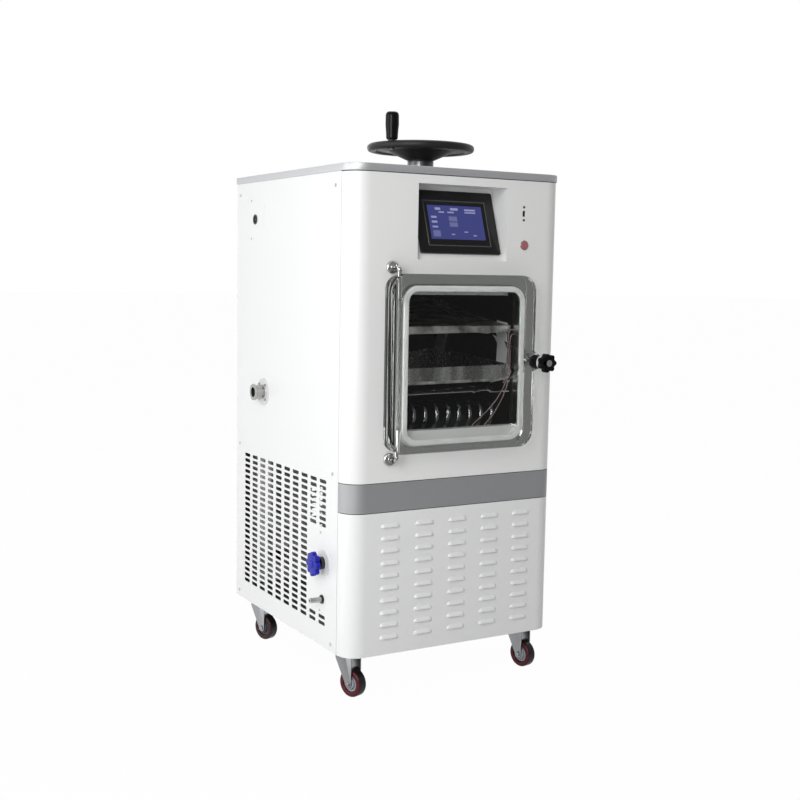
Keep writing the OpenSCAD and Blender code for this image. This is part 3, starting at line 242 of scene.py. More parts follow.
def shade(colour, factor):
    return tuple(min(1.0, c * factor) for c in colour)


print("helpers ready")

# %% [markdown]
# ## Powder coat
# The covers are sheet steel with a baked powder coat. Close up it isn't flat: it has a soft orange-peel
# ripple a millimetre or two across, and its gloss changes slightly over a panel. The grey lid and band have
# metal flake in their coat, so they go bright where they face the wall behind.
# %% Powder coat
WHITE = (0.83, 0.835, 0.84)


def orange_peel(tree, shader):
    raise_surface(tree, object_noise(tree, scale=620.0, detail=1.0), 0.02 * MM, shader)


def powder_coat(name, colour, roughness=0.34, metal_flake=0.0):
    made, tree, shader = new_finish(name, Specular_IOR_Level=0.45, Metallic=metal_flake)
    vary_colour(tree, object_noise(tree, scale=2.2), shade(colour, 0.985), shade(colour, 1.01), shader)
    vary(tree, object_noise(tree, scale=9.0), roughness - 0.03, roughness + 0.05, shader.inputs["Roughness"])
    orange_peel(tree, shader)
    return made


white_coat = powder_coat("white_powder_coat", WHITE)
band_coat = powder_coat("grey_band_coat", (0.45, 0.455, 0.47), roughness=0.60, metal_flake=0.70)
lid_coat = powder_coat("grey_lid_coat", (0.60, 0.605, 0.62), roughness=0.54, metal_flake=0.72)
frame_coat = powder_coat("frame_paint", (0.05, 0.05, 0.055), roughness=0.45)
enamel = powder_coat("black_enamel", (0.012, 0.012, 0.013), roughness=0.25)
print("powder coats made")

# %% [markdown]
# ## Metals
# Stainless sheet shows the fine lines of its grinding, so its noise is stretched long in one direction.
# Turned and plated parts are smoother: they only get faint marks and a small change of gloss. The shelves
# and the tray are handled and wiped, so they are dull in some patches and bright in others.
# %% Metals
GRINDING_DEPTH = 0.003 * MM


def ground_metal(name, colour, roughness, stretch):
    made, tree, shader = new_finish(name, Metallic=1.0)
    lines = object_noise(tree, scale=260.0, stretch=stretch)
    vary_colour(tree, lines, shade(colour, 0.96), shade(colour, 1.02), shader)
    vary(tree, lines, roughness - 0.02, roughness + 0.05, shader.inputs["Roughness"])
    raise_surface(tree, lines, GRINDING_DEPTH, shader)
    return made


def faint_marks(tree, shader, roughness, change):
    marks = object_noise(tree, scale=180.0, detail=5.0)
    vary(tree, marks, roughness, roughness + change, shader.inputs["Roughness"])


def bright_metal(name, colour, roughness):
    made, tree, shader = new_finish(name, Metallic=1.0)
    vary_colour(tree, object_noise(tree, scale=25.0), shade(colour, 0.95), colour, shader)
    faint_marks(tree, shader, roughness, change=0.06)
    return made


def used_metal(name, dull, bright, roughness, stretch):
    made, tree, shader = new_finish(name, Metallic=1.0)
    patches = ramp(tree, object_noise(tree, scale=1.0, stretch=stretch, detail=3.0), start=0.40, end=0.62)
    vary_colour(tree, patches, dull, bright, shader)
    faint_marks(tree, shader, roughness, change=0.08)
    return made


vessel_steel = ground_metal("vessel_stainless", (0.58, 0.58, 0.58), roughness=0.26, stretch=(0.06, 1, 1))
polished_steel = bright_metal("polished_stainless", (0.66, 0.66, 0.65), roughness=0.06)
zinc_plate = bright_metal("bright_zinc", (0.66, 0.68, 0.70), roughness=0.22)
anodised = ground_metal("satin_aluminium", (0.22, 0.22, 0.225), roughness=0.30, stretch=(0.05, 1, 1))
# Painted shade: the collar's turned stainless steel is made dark, as it sits under the handwheel.
shaded_collar_steel = ground_metal("turned_stainless_painted_shade", (0.20, 0.20, 0.20), roughness=0.30, stretch=(1, 1, 0.1))
# Painted shade: the coil's stainless steel is made near black, as it looks in the dark chamber.
shaded_coil_steel = bright_metal("coil_stainless_painted_shade", (0.19, 0.195, 0.20), roughness=0.10)
shelf_alloy = used_metal(
    "shelf_aluminium", (0.16, 0.16, 0.155), (0.66, 0.66, 0.64), roughness=0.28, stretch=(22, 22, 22)
)
tray_steel = used_metal(
    "tray_stainless", (0.20, 0.20, 0.195), (0.62, 0.62, 0.60), roughness=0.22, stretch=(16, 16, 3)
)
strap_steel, tree, shader = new_finish("strap_stainless", Metallic=0.45, Roughness=0.42)
streaks = object_noise(tree, scale=60.0, stretch=(1, 1, 0.1))
vary_colour(tree, streaks, (0.62, 0.62, 0.62), (0.74, 0.74, 0.73), shader)
fork_zinc = bright_metal("pressed_zinc", (0.36, 0.37, 0.38), roughness=0.28)
turned_brass = bright_metal("turned_brass", (0.70, 0.50, 0.20), roughness=0.20)
print("metals made")

# %% [markdown]
# ## Plastics and rubber
# Moulded parts share one recipe: a deep colour, a skin that is glossy but never perfect, and a very fine
# grain. The seal and the pipe foam are softer, so they are rougher.
# %% Plastics and rubber
def moulding(name, colour, roughness, grain=0.01 * MM, gloss=0.5):
    made, tree, shader = new_finish(name, Specular_IOR_Level=gloss)
    vary_colour(tree, object_noise(tree, scale=30.0), shade(colour, 0.9), shade(colour, 1.1), shader)
    skin = object_noise(tree, scale=90.0, detail=4.0)
    vary(tree, skin, roughness - 0.03, roughness + 0.07, shader.inputs["Roughness"])
    raise_surface(tree, object_noise(tree, scale=1500.0), grain, shader)
    return made


black_gloss = moulding("black_phenolic", (0.004, 0.004, 0.004), roughness=0.22, gloss=0.14)
black_matt = moulding("black_housing", (0.02, 0.02, 0.021), roughness=0.42, grain=0.03 * MM)
wheel_enamel = moulding("handwheel_enamel", (0.016, 0.016, 0.016), roughness=0.44, gloss=0.30)
blue_gloss = moulding("blue_moulding", (0.010, 0.014, 0.34), roughness=0.34, gloss=0.22)
red_gloss = moulding("red_button", (0.40, 0.13, 0.15), roughness=0.18)
nylon = moulding("white_nylon", (0.80, 0.80, 0.79), roughness=0.38)
silicone = moulding("white_silicone", (0.80, 0.80, 0.79), roughness=0.45)
lead_skin = moulding("sensor_lead_skin", (0.24, 0.17, 0.17), roughness=0.35)
pipe_foam = moulding("white_pipe_foam", (0.66, 0.66, 0.65), roughness=0.75, grain=0.2 * MM)
print("plastics made")

# %% [markdown]
# ## Finishes that change along a piece
# Some pieces carry two finishes: the vessel is bright at its mouth and dark further in, and a cover is only
# coated on its outer face. One coordinate of the piece decides which finish a point gets, through a Map
# Range node that goes from nought to one over a short step. A second helper turns that step into the two
# values of a socket.
# %% A step along one axis
def step_along(tree, axis, start, end):
    place = tree.nodes.new("ShaderNodeTexCoord")
    split = tree.nodes.new("ShaderNodeSeparateXYZ")
    tree.links.new(place.outputs["Object"], split.inputs[0])
    return ramp(tree, split.outputs[axis], start, end)


def socket_values(tree, step, first, second, socket):
    tree.links.new(ramp(tree, step, low=first, high=second), socket)


print("step helpers ready")

# %% [markdown]
# ## Vacuum vessel
# The vessel is ground stainless steel, bright at its mouth. Further in, its colour is painted near black:
# painted shade, for the inside behind its shelves and its coil. The sill at the bottom of the mouth, and the
# floor behind it, get a pale colour that hardly mirrors: painted light, for the light they catch from the
# door.
# %% Vacuum vessel
SILL_HEIGHT = 33.5 * MM
SILL_STEP = 0.5 * MM
MOUTH_START, MOUTH_END = 17 * MM, 30 * MM
chamber_low, chamber_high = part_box("chamber")
sill_top = chamber_low.z + SILL_HEIGHT
vessel, tree, shader = new_finish("vacuum_vessel", Metallic=1.0)
deep = step_along(tree, "Y", chamber_low.y + MOUTH_START, chamber_low.y + MOUTH_END)
above_sill = step_along(tree, "Z", sill_top, sill_top + SILL_STEP)
# Painted shade: the colour goes near black further in. Painted light: a pale colour below the sill.
painted_shade_depths = mix_colours(tree, deep, (0.62, 0.62, 0.61), (0.014, 0.014, 0.015))
vary_colour(tree, above_sill, (0.72, 0.72, 0.71), painted_shade_depths, shader)
socket_values(tree, above_sill, 0.15, 1.0, shader.inputs["Metallic"])
socket_values(tree, deep, 0.25, 0.42, shader.inputs["Roughness"])
raise_surface(tree, object_noise(tree, scale=300.0, stretch=(1, 0.05, 1)), GRINDING_DEPTH, shader)
print("vessel finish made")

# %% [markdown]
# ## Side cover
# The left cover is coated on its outer face. Inside, where it is seen through the slots, its colour is
# painted near black: painted shade of the cabinet's dark inside.
# Its box reaches out to the raised field round the side port, so the outer face lies that much further in.
# The rear fold is coated all round, so the dark part also stops before the fold.
# %% Side cover
RAISED_FIELD = 1.2 * MM
INSIDE_START, INSIDE_END = 0.6 * MM, 1.2 * MM
REAR_FOLD = 3 * MM
FOLD_STEP = 0.5 * MM
cover_low, cover_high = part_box("left_panel")
outer = cover_low.x + RAISED_FIELD
fold = cover_high.y - REAR_FOLD
side_cover, tree, shader = new_finish("coated_side_cover", Specular_IOR_Level=0.45, Roughness=0.36)
past_sheet = step_along(tree, "X", outer + INSIDE_START, outer + INSIDE_END)
before_fold = step_along(tree, "Y", fold, fold - FOLD_STEP)
inner_face = calculate(tree, "MULTIPLY", past_sheet, before_fold)
# The near-black inner face is painted shade.
vary_colour(tree, inner_face, WHITE, (0.06, 0.06, 0.062), shader)
orange_peel(tree, shader)
print("side cover finish made")

# %% [markdown]
# ## Distance past an outline
# Two finishes follow a rectangle on the cabinet's front. A Mapping node puts the origin in its middle and
# flattens the pattern, Absolute folds the four quarters into one, and taking away half the rectangle's size
# leaves how far a point lies past it, sideways and up or down.
# %% Distance past an outline
def past_outline(tree, middle, half):
    place = tree.nodes.new("ShaderNodeTexCoord")
    centred = tree.nodes.new("ShaderNodeMapping")
    centred.inputs["Location"].default_value = (-middle.x, 0, -middle.z)
    centred.inputs["Scale"].default_value = (1, 0, 1)
    tree.links.new(place.outputs["Object"], centred.inputs[0])
    quarter = calculate_vector(tree, "ABSOLUTE", centred.outputs[0])
    return calculate_vector(tree, "SUBTRACT", quarter, (half.x, 0, half.z))


print("outline helper ready")

# %% [markdown]
# ## Front cover
# The front cover is coated, and behind the door it is a plate of bare steel with round corners, a little
# smaller than the door. The plate stands partly for the steel flange round the seal and partly for the
# shadow
# that the clear slab casts on the cover: painted shade. The length of what lies past a smaller rectangle
# gives those round corners.
# %% Front cover
PLATE_MARGIN = 3 * MM
PLATE_ROUND = 30 * MM
PLATE_STEP = 0.4 * MM
door_low, door_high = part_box("door_slab")
straight_half = (door_high - door_low) / 2 - (PLATE_MARGIN + PLATE_ROUND) * Vector((1, 0, 1))
front_cover, tree, shader = new_finish("coated_front_cover", Specular_IOR_Level=0.45)
past_straight = past_outline(tree, (door_low + door_high) / 2, straight_half)
reach = calculate_vector(tree, "LENGTH", calculate_vector(tree, "MAXIMUM", past_straight))
coated = ramp(tree, reach, PLATE_ROUND - PLATE_STEP, PLATE_ROUND)
# The steel plate behind the door is partly painted shade of the clear slab.
vary_colour(tree, coated, (0.60, 0.60, 0.59), (0.83, 0.835, 0.83), shader)
socket_values(tree, coated, 1.0, 0.0, shader.inputs["Metallic"])
socket_values(tree, coated, 0.18, 0.36, shader.inputs["Roughness"])
orange_peel(tree, shader)
print("front cover finish made")

# %% [markdown]
# ## Screen housing
# The housing of the screen is black, with a thin grey line round the glass: a painted highlight along the
# raised bead there. The line is the points whose larger distance past the outline is close to nought. It
# lies a little lower than the glass, because the housing leans back.
# %% Screen housing
BEAD_GAP_X, BEAD_GAP_Z = 9.5 * MM, 11.5 * MM
BEAD_DROP = 2 * MM
BEAD_HALF, BEAD_END = 0.8 * MM, 1.3 * MM
glass_low, glass_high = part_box("display_screen")
bead_middle = (glass_low + glass_high) / 2 - Vector((0, 0, BEAD_DROP))
bead_half = (glass_high - glass_low) / 2 + Vector((BEAD_GAP_X, 0, BEAD_GAP_Z))
bezel, tree, shader = new_finish("bezel_black", Specular_IOR_Level=0.4, Roughness=0.2)
split = tree.nodes.new("ShaderNodeSeparateXYZ")
tree.links.new(past_outline(tree, bead_middle, bead_half), split.inputs[0])
farther = calculate(tree, "MAXIMUM", split.outputs["X"], split.outputs["Z"])
clear_of_bead_highlight = ramp(tree, calculate(tree, "ABSOLUTE", farther), BEAD_HALF, BEAD_END)
# The grey line is a painted highlight along the bead.
vary_colour(tree, clear_of_bead_highlight, (0.085, 0.085, 0.085), (0.007, 0.007, 0.007), shader)
print("screen housing finish made")

# %% [markdown]
# ## Ports on the left side
# Three pieces come through the left cover, each with a part that lies on it. The vacuum port is a steel pipe
# on a white rosette, the drain valve is a black body with a white one, and the drain is a steel barb in a
# black nut. The step stands where the part on the cover ends.
# %% Ports on the left side
ROSETTE, VALVE_ROSETTE, NUT = 3.5 * MM, 3.6 * MM, 4 * MM
SEAT_STEP = 0.4 * MM
TURNING_MARKS = 0.3 * MM


def on_cover(tree, thickness):
    return step_along(tree, "X", outer - thickness, outer - thickness + SEAT_STEP)


port_steel, tree, shader = new_finish("port_stainless", Roughness=0.20)
rosette = on_cover(tree, ROSETTE)
vary_colour(tree, rosette, (0.42, 0.42, 0.41), (0.70, 0.70, 0.70), shader)
socket_values(tree, rosette, 1.0, 0.0, shader.inputs["Metallic"])
rings = object_noise(tree, scale=500.0, stretch=(1, 0.01, 0.01), detail=0.0)
raise_surface(tree, rings, TURNING_MARKS, shader)

valve_coat, tree, shader = new_finish("valve_and_rosette", Roughness=0.35)
vary_colour(tree, on_cover(tree, VALVE_ROSETTE), (0.02, 0.02, 0.02), (0.78, 0.78, 0.78), shader)

drain_coat, tree, shader = new_finish("drain_barb_and_nut", Roughness=0.30, Specular_IOR_Level=0.25)
nut = on_cover(tree, NUT)
vary_colour(tree, nut, (0.62, 0.62, 0.63), (0.010, 0.010, 0.010), shader)
socket_values(tree, nut, 1.0, 0.0, shader.inputs["Metallic"])
print("three port finishes made")

# %% [markdown]
# ## Clear acrylic
# The door is a thick slab of cast acrylic. A Principled shader with full transmission bends what is
# behind it, and the thickness gives the bright bands along its edges. Rays from the lamps pass straight
# through it, so that the seal and the shelves behind are lit as they are behind a real door. The mirror
# reflection is turned down, so that the chamber stays readable.
# %% Clear acrylic
acrylic, tree, shader = new_finish("clear_acrylic", Transmission_Weight=1.0, IOR=1.49)
shader.inputs["Base Color"].default_value = (0.97, 0.985, 0.98, 1)
shader.inputs["Specular Tint"].default_value = (0.35, 0.35, 0.35, 1)
vary(tree, object_noise(tree, scale=40.0), 0.0, 0.02, shader.inputs["Roughness"])
lamp_ray = tree.nodes.new("ShaderNodeLightPath").outputs["Is Shadow Ray"]
pass_on = tree.nodes.new("ShaderNodeBsdfTransparent")
pass_on.inputs["Color"].default_value = (0.66, 0.67, 0.665, 1)
clear = mix_shaders(tree, lamp_ray, shader.outputs[0], pass_on.outputs[0])
tree.links.new(clear, tree.nodes["Material Output"].inputs[0])
print("acrylic made")

# %% [markdown]
# ## Lit screen
# The touch screen glows blue behind its glass, with pale marks where readings and keys stand. The marks are
# plain bars and blocks, each placed by its left edge, lower edge, width and height as shares of the glass.
# %% Lit screen
MARK_GLOW, BLOCK_GLOW = 0.75, 0.28
screen, tree, shader = new_finish("lit_screen", Roughness=0.12, Base_Color=(0.02, 0.02, 0.05, 1))
across = step_along(tree, "X", glass_low.x, glass_high.x)
up = step_along(tree, "Z", glass_low.z, glass_high.z)


def within(source, middle, half):
    offset = calculate(tree, "ABSOLUTE", calculate(tree, "SUBTRACT", source, middle))
    return calculate(tree, "LESS_THAN", offset, half)


def bar(left, bottom, width, height):
    in_width = within(across, left + width / 2, width / 2)
    in_height = within(up, bottom + height / 2, height / 2)
    return calculate(tree, "MULTIPLY", in_width, in_height)


def all_bars(spots):
    drawn = 0.0
    for spot in spots:
        drawn = calculate(tree, "MAXIMUM", drawn, bar(*spot))
    return drawn


marks = all_bars((
    (0.14, 0.86, 0.10, 0.07), (0.42, 0.86, 0.14, 0.07), (0.68, 0.86, 0.20, 0.05), (0.20, 0.78, 0.10, 0.04),
    (0.36, 0.78, 0.12, 0.04), (0.68, 0.79, 0.20, 0.04), (0.05, 0.62, 0.10, 0.06), (0.05, 0.48, 0.10, 0.06),
    (0.05, 0.34, 0.10, 0.05), (0.38, 0.14, 0.06, 0.03), (0.62, 0.22, 0.07, 0.03), (0.78, 0.12, 0.06, 0.03),
))
blocks = all_bars(((0.37, 0.54, 0.15, 0.14), (0.37, 0.38, 0.15, 0.13), (0.05, 0.08, 0.13, 0.18)))
bright_marks = calculate(tree, "MULTIPLY", marks, MARK_GLOW)
dim_blocks = calculate(tree, "MULTIPLY", blocks, BLOCK_GLOW)
glow = calculate(tree, "ADD", bright_marks, dim_blocks)
screen_light = mix_colours(tree, glow, (0.036, 0.045, 0.20), (0.42, 0.44, 0.66))
tree.links.new(screen_light, shader.inputs["Emission Color"])
shader.inputs["Emission Strength"].default_value = 0.8
print("screen made")

# %% [markdown]
# ## Two-tone wheels
# Each caster wheel is one body: a core, a dark red ring round it and a running surface that has gone nearly
# black. The front cores are pale; the rear wheels get darker copies of the core and ring colours, which is
# painted shade. A Mapping node puts the origin at the middle of the wheel and turns with its fork, so the
# distance from the axle decides the colour.
# %% Two-tone wheels
CASTER_TURN = {"front_left": 18, "front_right": 12, "rear_left": 18, "rear_right": 14}
CORE_EDGE = (18.4 * MM, 18.8 * MM)
RUNNING_EDGE = (30.2 * MM, 31.1 * MM)


def wheel_finish(name, low, high, turned, core, band):
    made, tree, shader = new_finish(name, Specular_IOR_Level=0.3)
    place = tree.nodes.new("ShaderNodeTexCoord")
    centred = tree.nodes.new("ShaderNodeMapping")
    centred.vector_type = "TEXTURE"
    centred.inputs["Location"].default_value = (low + high) / 2
    centred.inputs["Rotation"].default_value = (0, 0, math.radians(turned))
    split = tree.nodes.new("ShaderNodeSeparateXYZ")
    flat = tree.nodes.new("ShaderNodeCombineXYZ")
    tree.links.new(place.outputs["Object"], centred.inputs[0])
    tree.links.new(centred.outputs[0], split.inputs[0])
    for axis in ("Y", "Z"):
        tree.links.new(split.outputs[axis], flat.inputs[axis])
    from_axle = calculate_vector(tree, "LENGTH", flat.outputs[0])
    side = mix_colours(tree, ramp(tree, from_axle, *CORE_EDGE), core, band)
    vary_colour(tree, ramp(tree, from_axle, *RUNNING_EDGE), side, (0.014, 0.011, 0.011), shader)
    vary(tree, object_noise(tree, scale=70.0, detail=4.0), 0.28, 0.42, shader.inputs["Roughness"])
    raise_surface(tree, object_noise(tree, scale=900.0), 0.02 * MM, shader)
    return made


print("wheel finish ready")

# %% [markdown]
# ## Put the finishes on
# A CAD node keeps its shape and only gets a better material in its slot. The lists below name the nodes that
# share a finish; each wheel gets its own, because its pattern is centred on its axle.
# %% Put the finishes on
FINISHES = {
    white_coat: "right_panel rear_panel lower_front_panel",
    front_cover: "front_fascia",
    side_cover: "left_panel",
    band_coat: "waist_band",
    lid_coat: "top_lid",
    frame_coat: "base_frame corner_posts mid_deck",
    enamel: "compressor",
    vessel: "chamber",
    vessel_steel: "drive_column press_plate coil_baffle",
    strap_steel: "shelf_straps",
    shaded_coil_steel: "condenser_coil",
    tray_steel: "product_tray",
    shelf_alloy: "upper_shelf lower_shelf",
    port_steel: "vacuum_port",
    shaded_collar_steel: "drive_collar",
    anodised: "condenser_fins fan_rotor",
    polished_steel: "hinge_pin_top hinge_pin_bottom latch_screw latch_insert press_ram button_ring",
    drain_coat: "drain_spout",
    zinc_plate: "panel_screws",
    fork_zinc: "caster_plates fork_front_left fork_front_right fork_rear_left fork_rear_right",
    turned_brass: "drive_nut",
    black_gloss: "latch_barrel latch_knob crank_grip",
    bezel: "display_frame",
    wheel_enamel: "handwheel",
    black_matt: "usb_socket side_port power_inlet grip_bolt",
    valve_coat: "valve_body",
    blue_gloss: "valve_wheel",
    red_gloss: "start_button",
    nylon: "latch_washer",
    silicone: "door_gasket",
    lead_skin: "probe_leads",
    pipe_foam: "insulated_pipes",
    acrylic: "door_slab",
    screen: "display_screen",
}
WHEEL_TONES_REAR_SHADED = {
    "front": ((0.30, 0.33, 0.37), (0.075, 0.005, 0.011)),
    # rear: the front colours made darker, as painted shade
    "rear": ((0.060, 0.060, 0.066), (0.030, 0.006, 0.009)),
}


def dress(node, finish):
    data = nodes[node].data
    data.materials.clear()
    data.materials.append(finish)


for finish, names in FINISHES.items():
    for name in names.split():
        dress(name, finish)
for corner, turned in CASTER_TURN.items():
    core, band = WHEEL_TONES_REAR_SHADED["rear" if "rear" in corner else "front"]
    low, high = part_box("wheel_" + corner)
    dress("wheel_" + corner, wheel_finish("wheel_" + corner + "_tones", low, high, turned, core, band))
bare = [n for n, o in nodes.items() if not o.data.materials]
print("nodes without a finish:", bare)

# %% [markdown]
# ## From a bmesh to a piece
# Each new piece is shaped as a bmesh, which is Blender's workbench for one mesh. When its shape is done, it
# is written to a mesh, given its finish and put in the scene at the origin, where the CAD nodes are too.
# %% From a bmesh to a piece
def finished_piece(name, shape, finish, smooth):
    mesh = bpy.data.meshes.new(name)
    shape.to_mesh(mesh)
    shape.free()
    for face in mesh.polygons:
        face.use_smooth = smooth
    mesh.materials.append(finish)
    piece = bpy.data.objects.new(name, mesh)
    bpy.context.scene.collection.objects.link(piece)
    return piece


print("piece helper ready")

# %% [markdown]
# ## Softened edges
# No cut, moulded or turned piece has a razor edge, and the small rounding is what catches the light. The
# CAD mesh is loose triangles, so a copy is merged and its flat faces joined before a Bevel modifier rounds
# every edge that turns by more than its angle. The piece keeps its outer size.
# %% A helper that softens edges
WELD_DISTANCE = 0.01 * MM
FLAT_ANGLE = math.radians(0.6)
EDGE_ANGLE = math.radians(35)


def soften(node, body, width):
    shape = bmesh.new()
    shape.from_mesh(nodes[node].data)
    bmesh.ops.remove_doubles(shape, verts=shape.verts, dist=WELD_DISTANCE)
    bmesh.ops.dissolve_limit(shape, angle_limit=FLAT_ANGLE, verts=shape.verts, edges=shape.edges)
    piece = finished_piece(node + "_softened", shape, nodes[node].data.materials[0], smooth=True)
    rounding = piece.modifiers.new("edge_rounding", "BEVEL")
    rounding.width = width
    rounding.segments = 3
    rounding.limit_method = "ANGLE"
    rounding.angle_limit = EDGE_ANGLE
    rounding.use_clamp_overlap = False
    rounding.harden_normals = True
    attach(piece, body)
    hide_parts(node)
    return piece


print("softening helper ready")

# %% [markdown]
# ## The pieces the eye is drawn to
# The table gives each piece its body, its slot and the width of its rounding in millimetres. The clear door
# and the wheels get the widest ones, and small or thin pieces get narrow ones.
# %% Soften the pieces the eye is drawn to
SOFTENED = (
    ("door_slab", "door", "clear_door", 4.5),
    ("latch_barrel", "door", "black_gloss", 0.8),
    ("latch_knob", "latch", "black_gloss", 1.4),
    ("latch_washer", "latch_slider", "white_plastic", 0.6),
    ("display_frame", "cabinet", "black_gloss", 0.7),
    ("top_lid", "cabinet", "lid_grey", 1.2),
    ("valve_wheel", "drain_valve", "blue_plastic", 1.0),
    ("upper_shelf", "cabinet", "aluminium", 0.8),
    ("hinge_pin_top", "cabinet", "bright_steel", 2.2),
    ("hinge_pin_bottom", "cabinet", "bright_steel", 2.2),
    ("drive_collar", "cabinet", "bright_steel", 1.2),
    ("start_button", "button", "red_plastic", 0.8),
    ("button_ring", "cabinet", "bright_steel", 0.5),
    ("power_inlet", "cabinet", "black_matte", 0.6),
)
WHEEL_ROUNDING = 2.4
FORK_ROUNDING = 0.6
for node, body, slot_name, width in SOFTENED:
    soften(node, body, width * MM)
for corner in CASTER_TURN:
    soften("wheel_" + corner, "roller_" + corner, WHEEL_ROUNDING * MM)
    soften("fork_" + corner, "swivel_" + corner, FORK_ROUNDING * MM)
print(len(SOFTENED) + 2 * len(CASTER_TURN), "pieces softened")

# %% [markdown]
# ## Door seal
# The seal is a moulded ring of white silicone that the door presses on the flange. It is a rounded strip,
# so two outlines are bridged into a flat ring, extruded and given round edges. It starts a hair behind the
# clear slab, because two faces in one plane would show as black patches.
# %% Door seal
SEAL_WIDTH = 12 * MM
SEAL_CORNER = 35 * MM
SEAL_GAP = 0.15 * MM
SEAL_ROUNDING = 1.6 * MM
SHARP_TURN = math.radians(60)


def rounded_outline(low, high, radius, y, steps=10):
    centres = (
        (high.x - radius, high.z - radius, 0), (low.x + radius, high.z - radius, 90),
        (low.x + radius, low.z + radius, 180), (high.x - radius, low.z + radius, 270),
    )
    points = []
    for x, z, start in centres:
        for step in range(steps + 1):
            angle = math.radians(start + 90 * step / steps)
            points.append(Vector((x + radius * math.cos(angle), y, z + radius * math.sin(angle))))
    return points


seal_low, seal_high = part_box("door_gasket")
seal_front = seal_low.y + SEAL_GAP
shape = bmesh.new()
loops = []
for inset in (0, SEAL_WIDTH):
    smaller = Vector((inset, 0, inset))
    line = rounded_outline(seal_low + smaller, seal_high - smaller, SEAL_CORNER - inset, seal_front)
    ring = [shape.verts.new(point) for point in line]
    loops += [shape.edges.new((ring[i], ring[i - 1])) for i in range(len(ring))]
flat_ring = bmesh.ops.bridge_loops(shape, edges=loops)["faces"]
pushed = bmesh.ops.extrude_face_region(shape, geom=flat_ring)
moved = [v for v in pushed["geom"] if isinstance(v, bmesh.types.BMVert)]
bmesh.ops.translate(shape, verts=moved, vec=(0, seal_high.y - seal_front, 0))
bmesh.ops.recalc_face_normals(shape, faces=shape.faces)
rims = [e for e in shape.edges if len(e.link_faces) == 2 and e.calc_face_angle(0) > SHARP_TURN]
bmesh.ops.bevel(
    shape, geom=rims, offset=SEAL_ROUNDING, affect="EDGES", segments=4, profile=0.5, material=-1
)
seal = finished_piece("door_seal_ring", shape, silicone, smooth=True)
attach(seal, "door")
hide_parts("door_gasket")
print("seal of", len(seal.data.polygons), "faces")

# %% [markdown]
# ## Strips behind the joints
# Between the covers of the front there are open joints. A dark strip in the frame's paint closes each from
# behind: a dark sheet that stands in for the shade in the joint, so that a joint reads as a thin dark line.
# The strip follows the covers round both front corners: its line is drawn with two arcs, drawn again further
# in, bridged, and given the thickness of the sheet.
# %% Strips behind the joints
front_low, front_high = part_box("waist_band")
CORNER_RADIUS = 44 * MM
STRIP_START, STRIP_END = 1.3 * MM, 14 * MM
STRIP_SHEET = 0.8 * MM


def front_line(inset, z, steps=12):
    radius = CORNER_RADIUS - inset
    points = []
    for x, start in ((front_low.x + CORNER_RADIUS, 180), (front_high.x - CORNER_RADIUS, 270)):
        for step in range(steps + 1):
            angle = math.radians(start + 90 * step / steps)
            y = front_low.y + CORNER_RADIUS + radius * math.sin(angle)
            points.append(Vector((x + radius * math.cos(angle), y, z)))
    return points


for cover in ("waist_band", "lower_front_panel"):
    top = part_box(cover)[1].z - STRIP_SHEET
    shape = bmesh.new()
    chains = []
    for inset in (STRIP_START, STRIP_END):
        line = [shape.verts.new(point) for point in front_line(inset, top)]
        chains += [shape.edges.new(pair) for pair in zip(line, line[1:])]
    bmesh.ops.bridge_loops(shape, edges=chains)
    bmesh.ops.recalc_face_normals(shape, faces=shape.faces)
    # Painted shade: a dark strip behind a joint that is only in shade.
    joint_shade_strip = finished_piece(cover + "_joint_shade_strip", shape, frame_coat, smooth=False)
    sheet = joint_shade_strip.modifiers.new("sheet", "SOLIDIFY")
    sheet.thickness = STRIP_SHEET
    sheet.offset = 0
    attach(joint_shade_strip, "cabinet")
    print(joint_shade_strip.name, "has", len(joint_shade_strip.data.polygons), "faces")

# %% [markdown]
# ## Condenser coil and probe leads
# The coil is one stainless tube, wound nine times round two rows of bends. The probe leads are thin coated
# wires that hang beside the shelves. Both are curves with a round bevel, which stay smooth in the bends.
# %% A tube along points
def tube(name, points, radius, finish, smooth):
    line = bpy.data.curves.new(name, "CURVE")
    line.dimensions = "3D"
    line.bevel_depth = radius
    line.bevel_resolution = 5
    line.resolution_u = line.render_resolution_u = 6
    line.use_fill_caps = True
    spline = line.splines.new("BEZIER" if smooth else "POLY")
    dots = spline.bezier_points if smooth else spline.points
    dots.add(len(points) - 1)
    for dot, point in zip(dots, points):
        if smooth:
            dot.co = point
            dot.handle_left_type = dot.handle_right_type = "AUTO"
        else:
            dot.co = (*point, 1)
    line.materials.append(finish)
    piece = bpy.data.objects.new(name, line)
    bpy.context.scene.collection.objects.link(piece)
    return piece


def line_length(points):
    return sum((b - a).length for a, b in zip(points, points[1:]))


print("tube helper ready")

# %% [markdown]
# ## The coil's path
# Seen from the side, each turn is a half circle in front, a straight run, a half circle at the rear and a
# run back, while the tube moves on by one pitch. The two ends run straight to the rear wall.
# %% Condenser coil
COIL_TURNS = 9
COIL_PITCH = 29 * MM
COIL_TUBE = 10 * MM
COIL_BEND = 28 * MM
COIL_END = 62.5 * MM
COIL_CLEARANCE = 0.1 * MM
BEND_STEPS = 16
coil_low, coil_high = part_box("condenser_coil")
coil_middle = (coil_low.z + coil_high.z) / 2
front_y = coil_low.y + COIL_TUBE / 2 + COIL_BEND
rear_y = coil_high.y - COIL_END
half_turn = math.pi * COIL_BEND
turn_run = 2 * (rear_y - front_y) + 2 * half_turn
first_x = (chamber_low.x + chamber_high.x) / 2 - COIL_TURNS * COIL_PITCH / 2


def coil_point(run, y, z):
    return Vector((first_x + run / turn_run * COIL_PITCH, y, coil_middle + z))


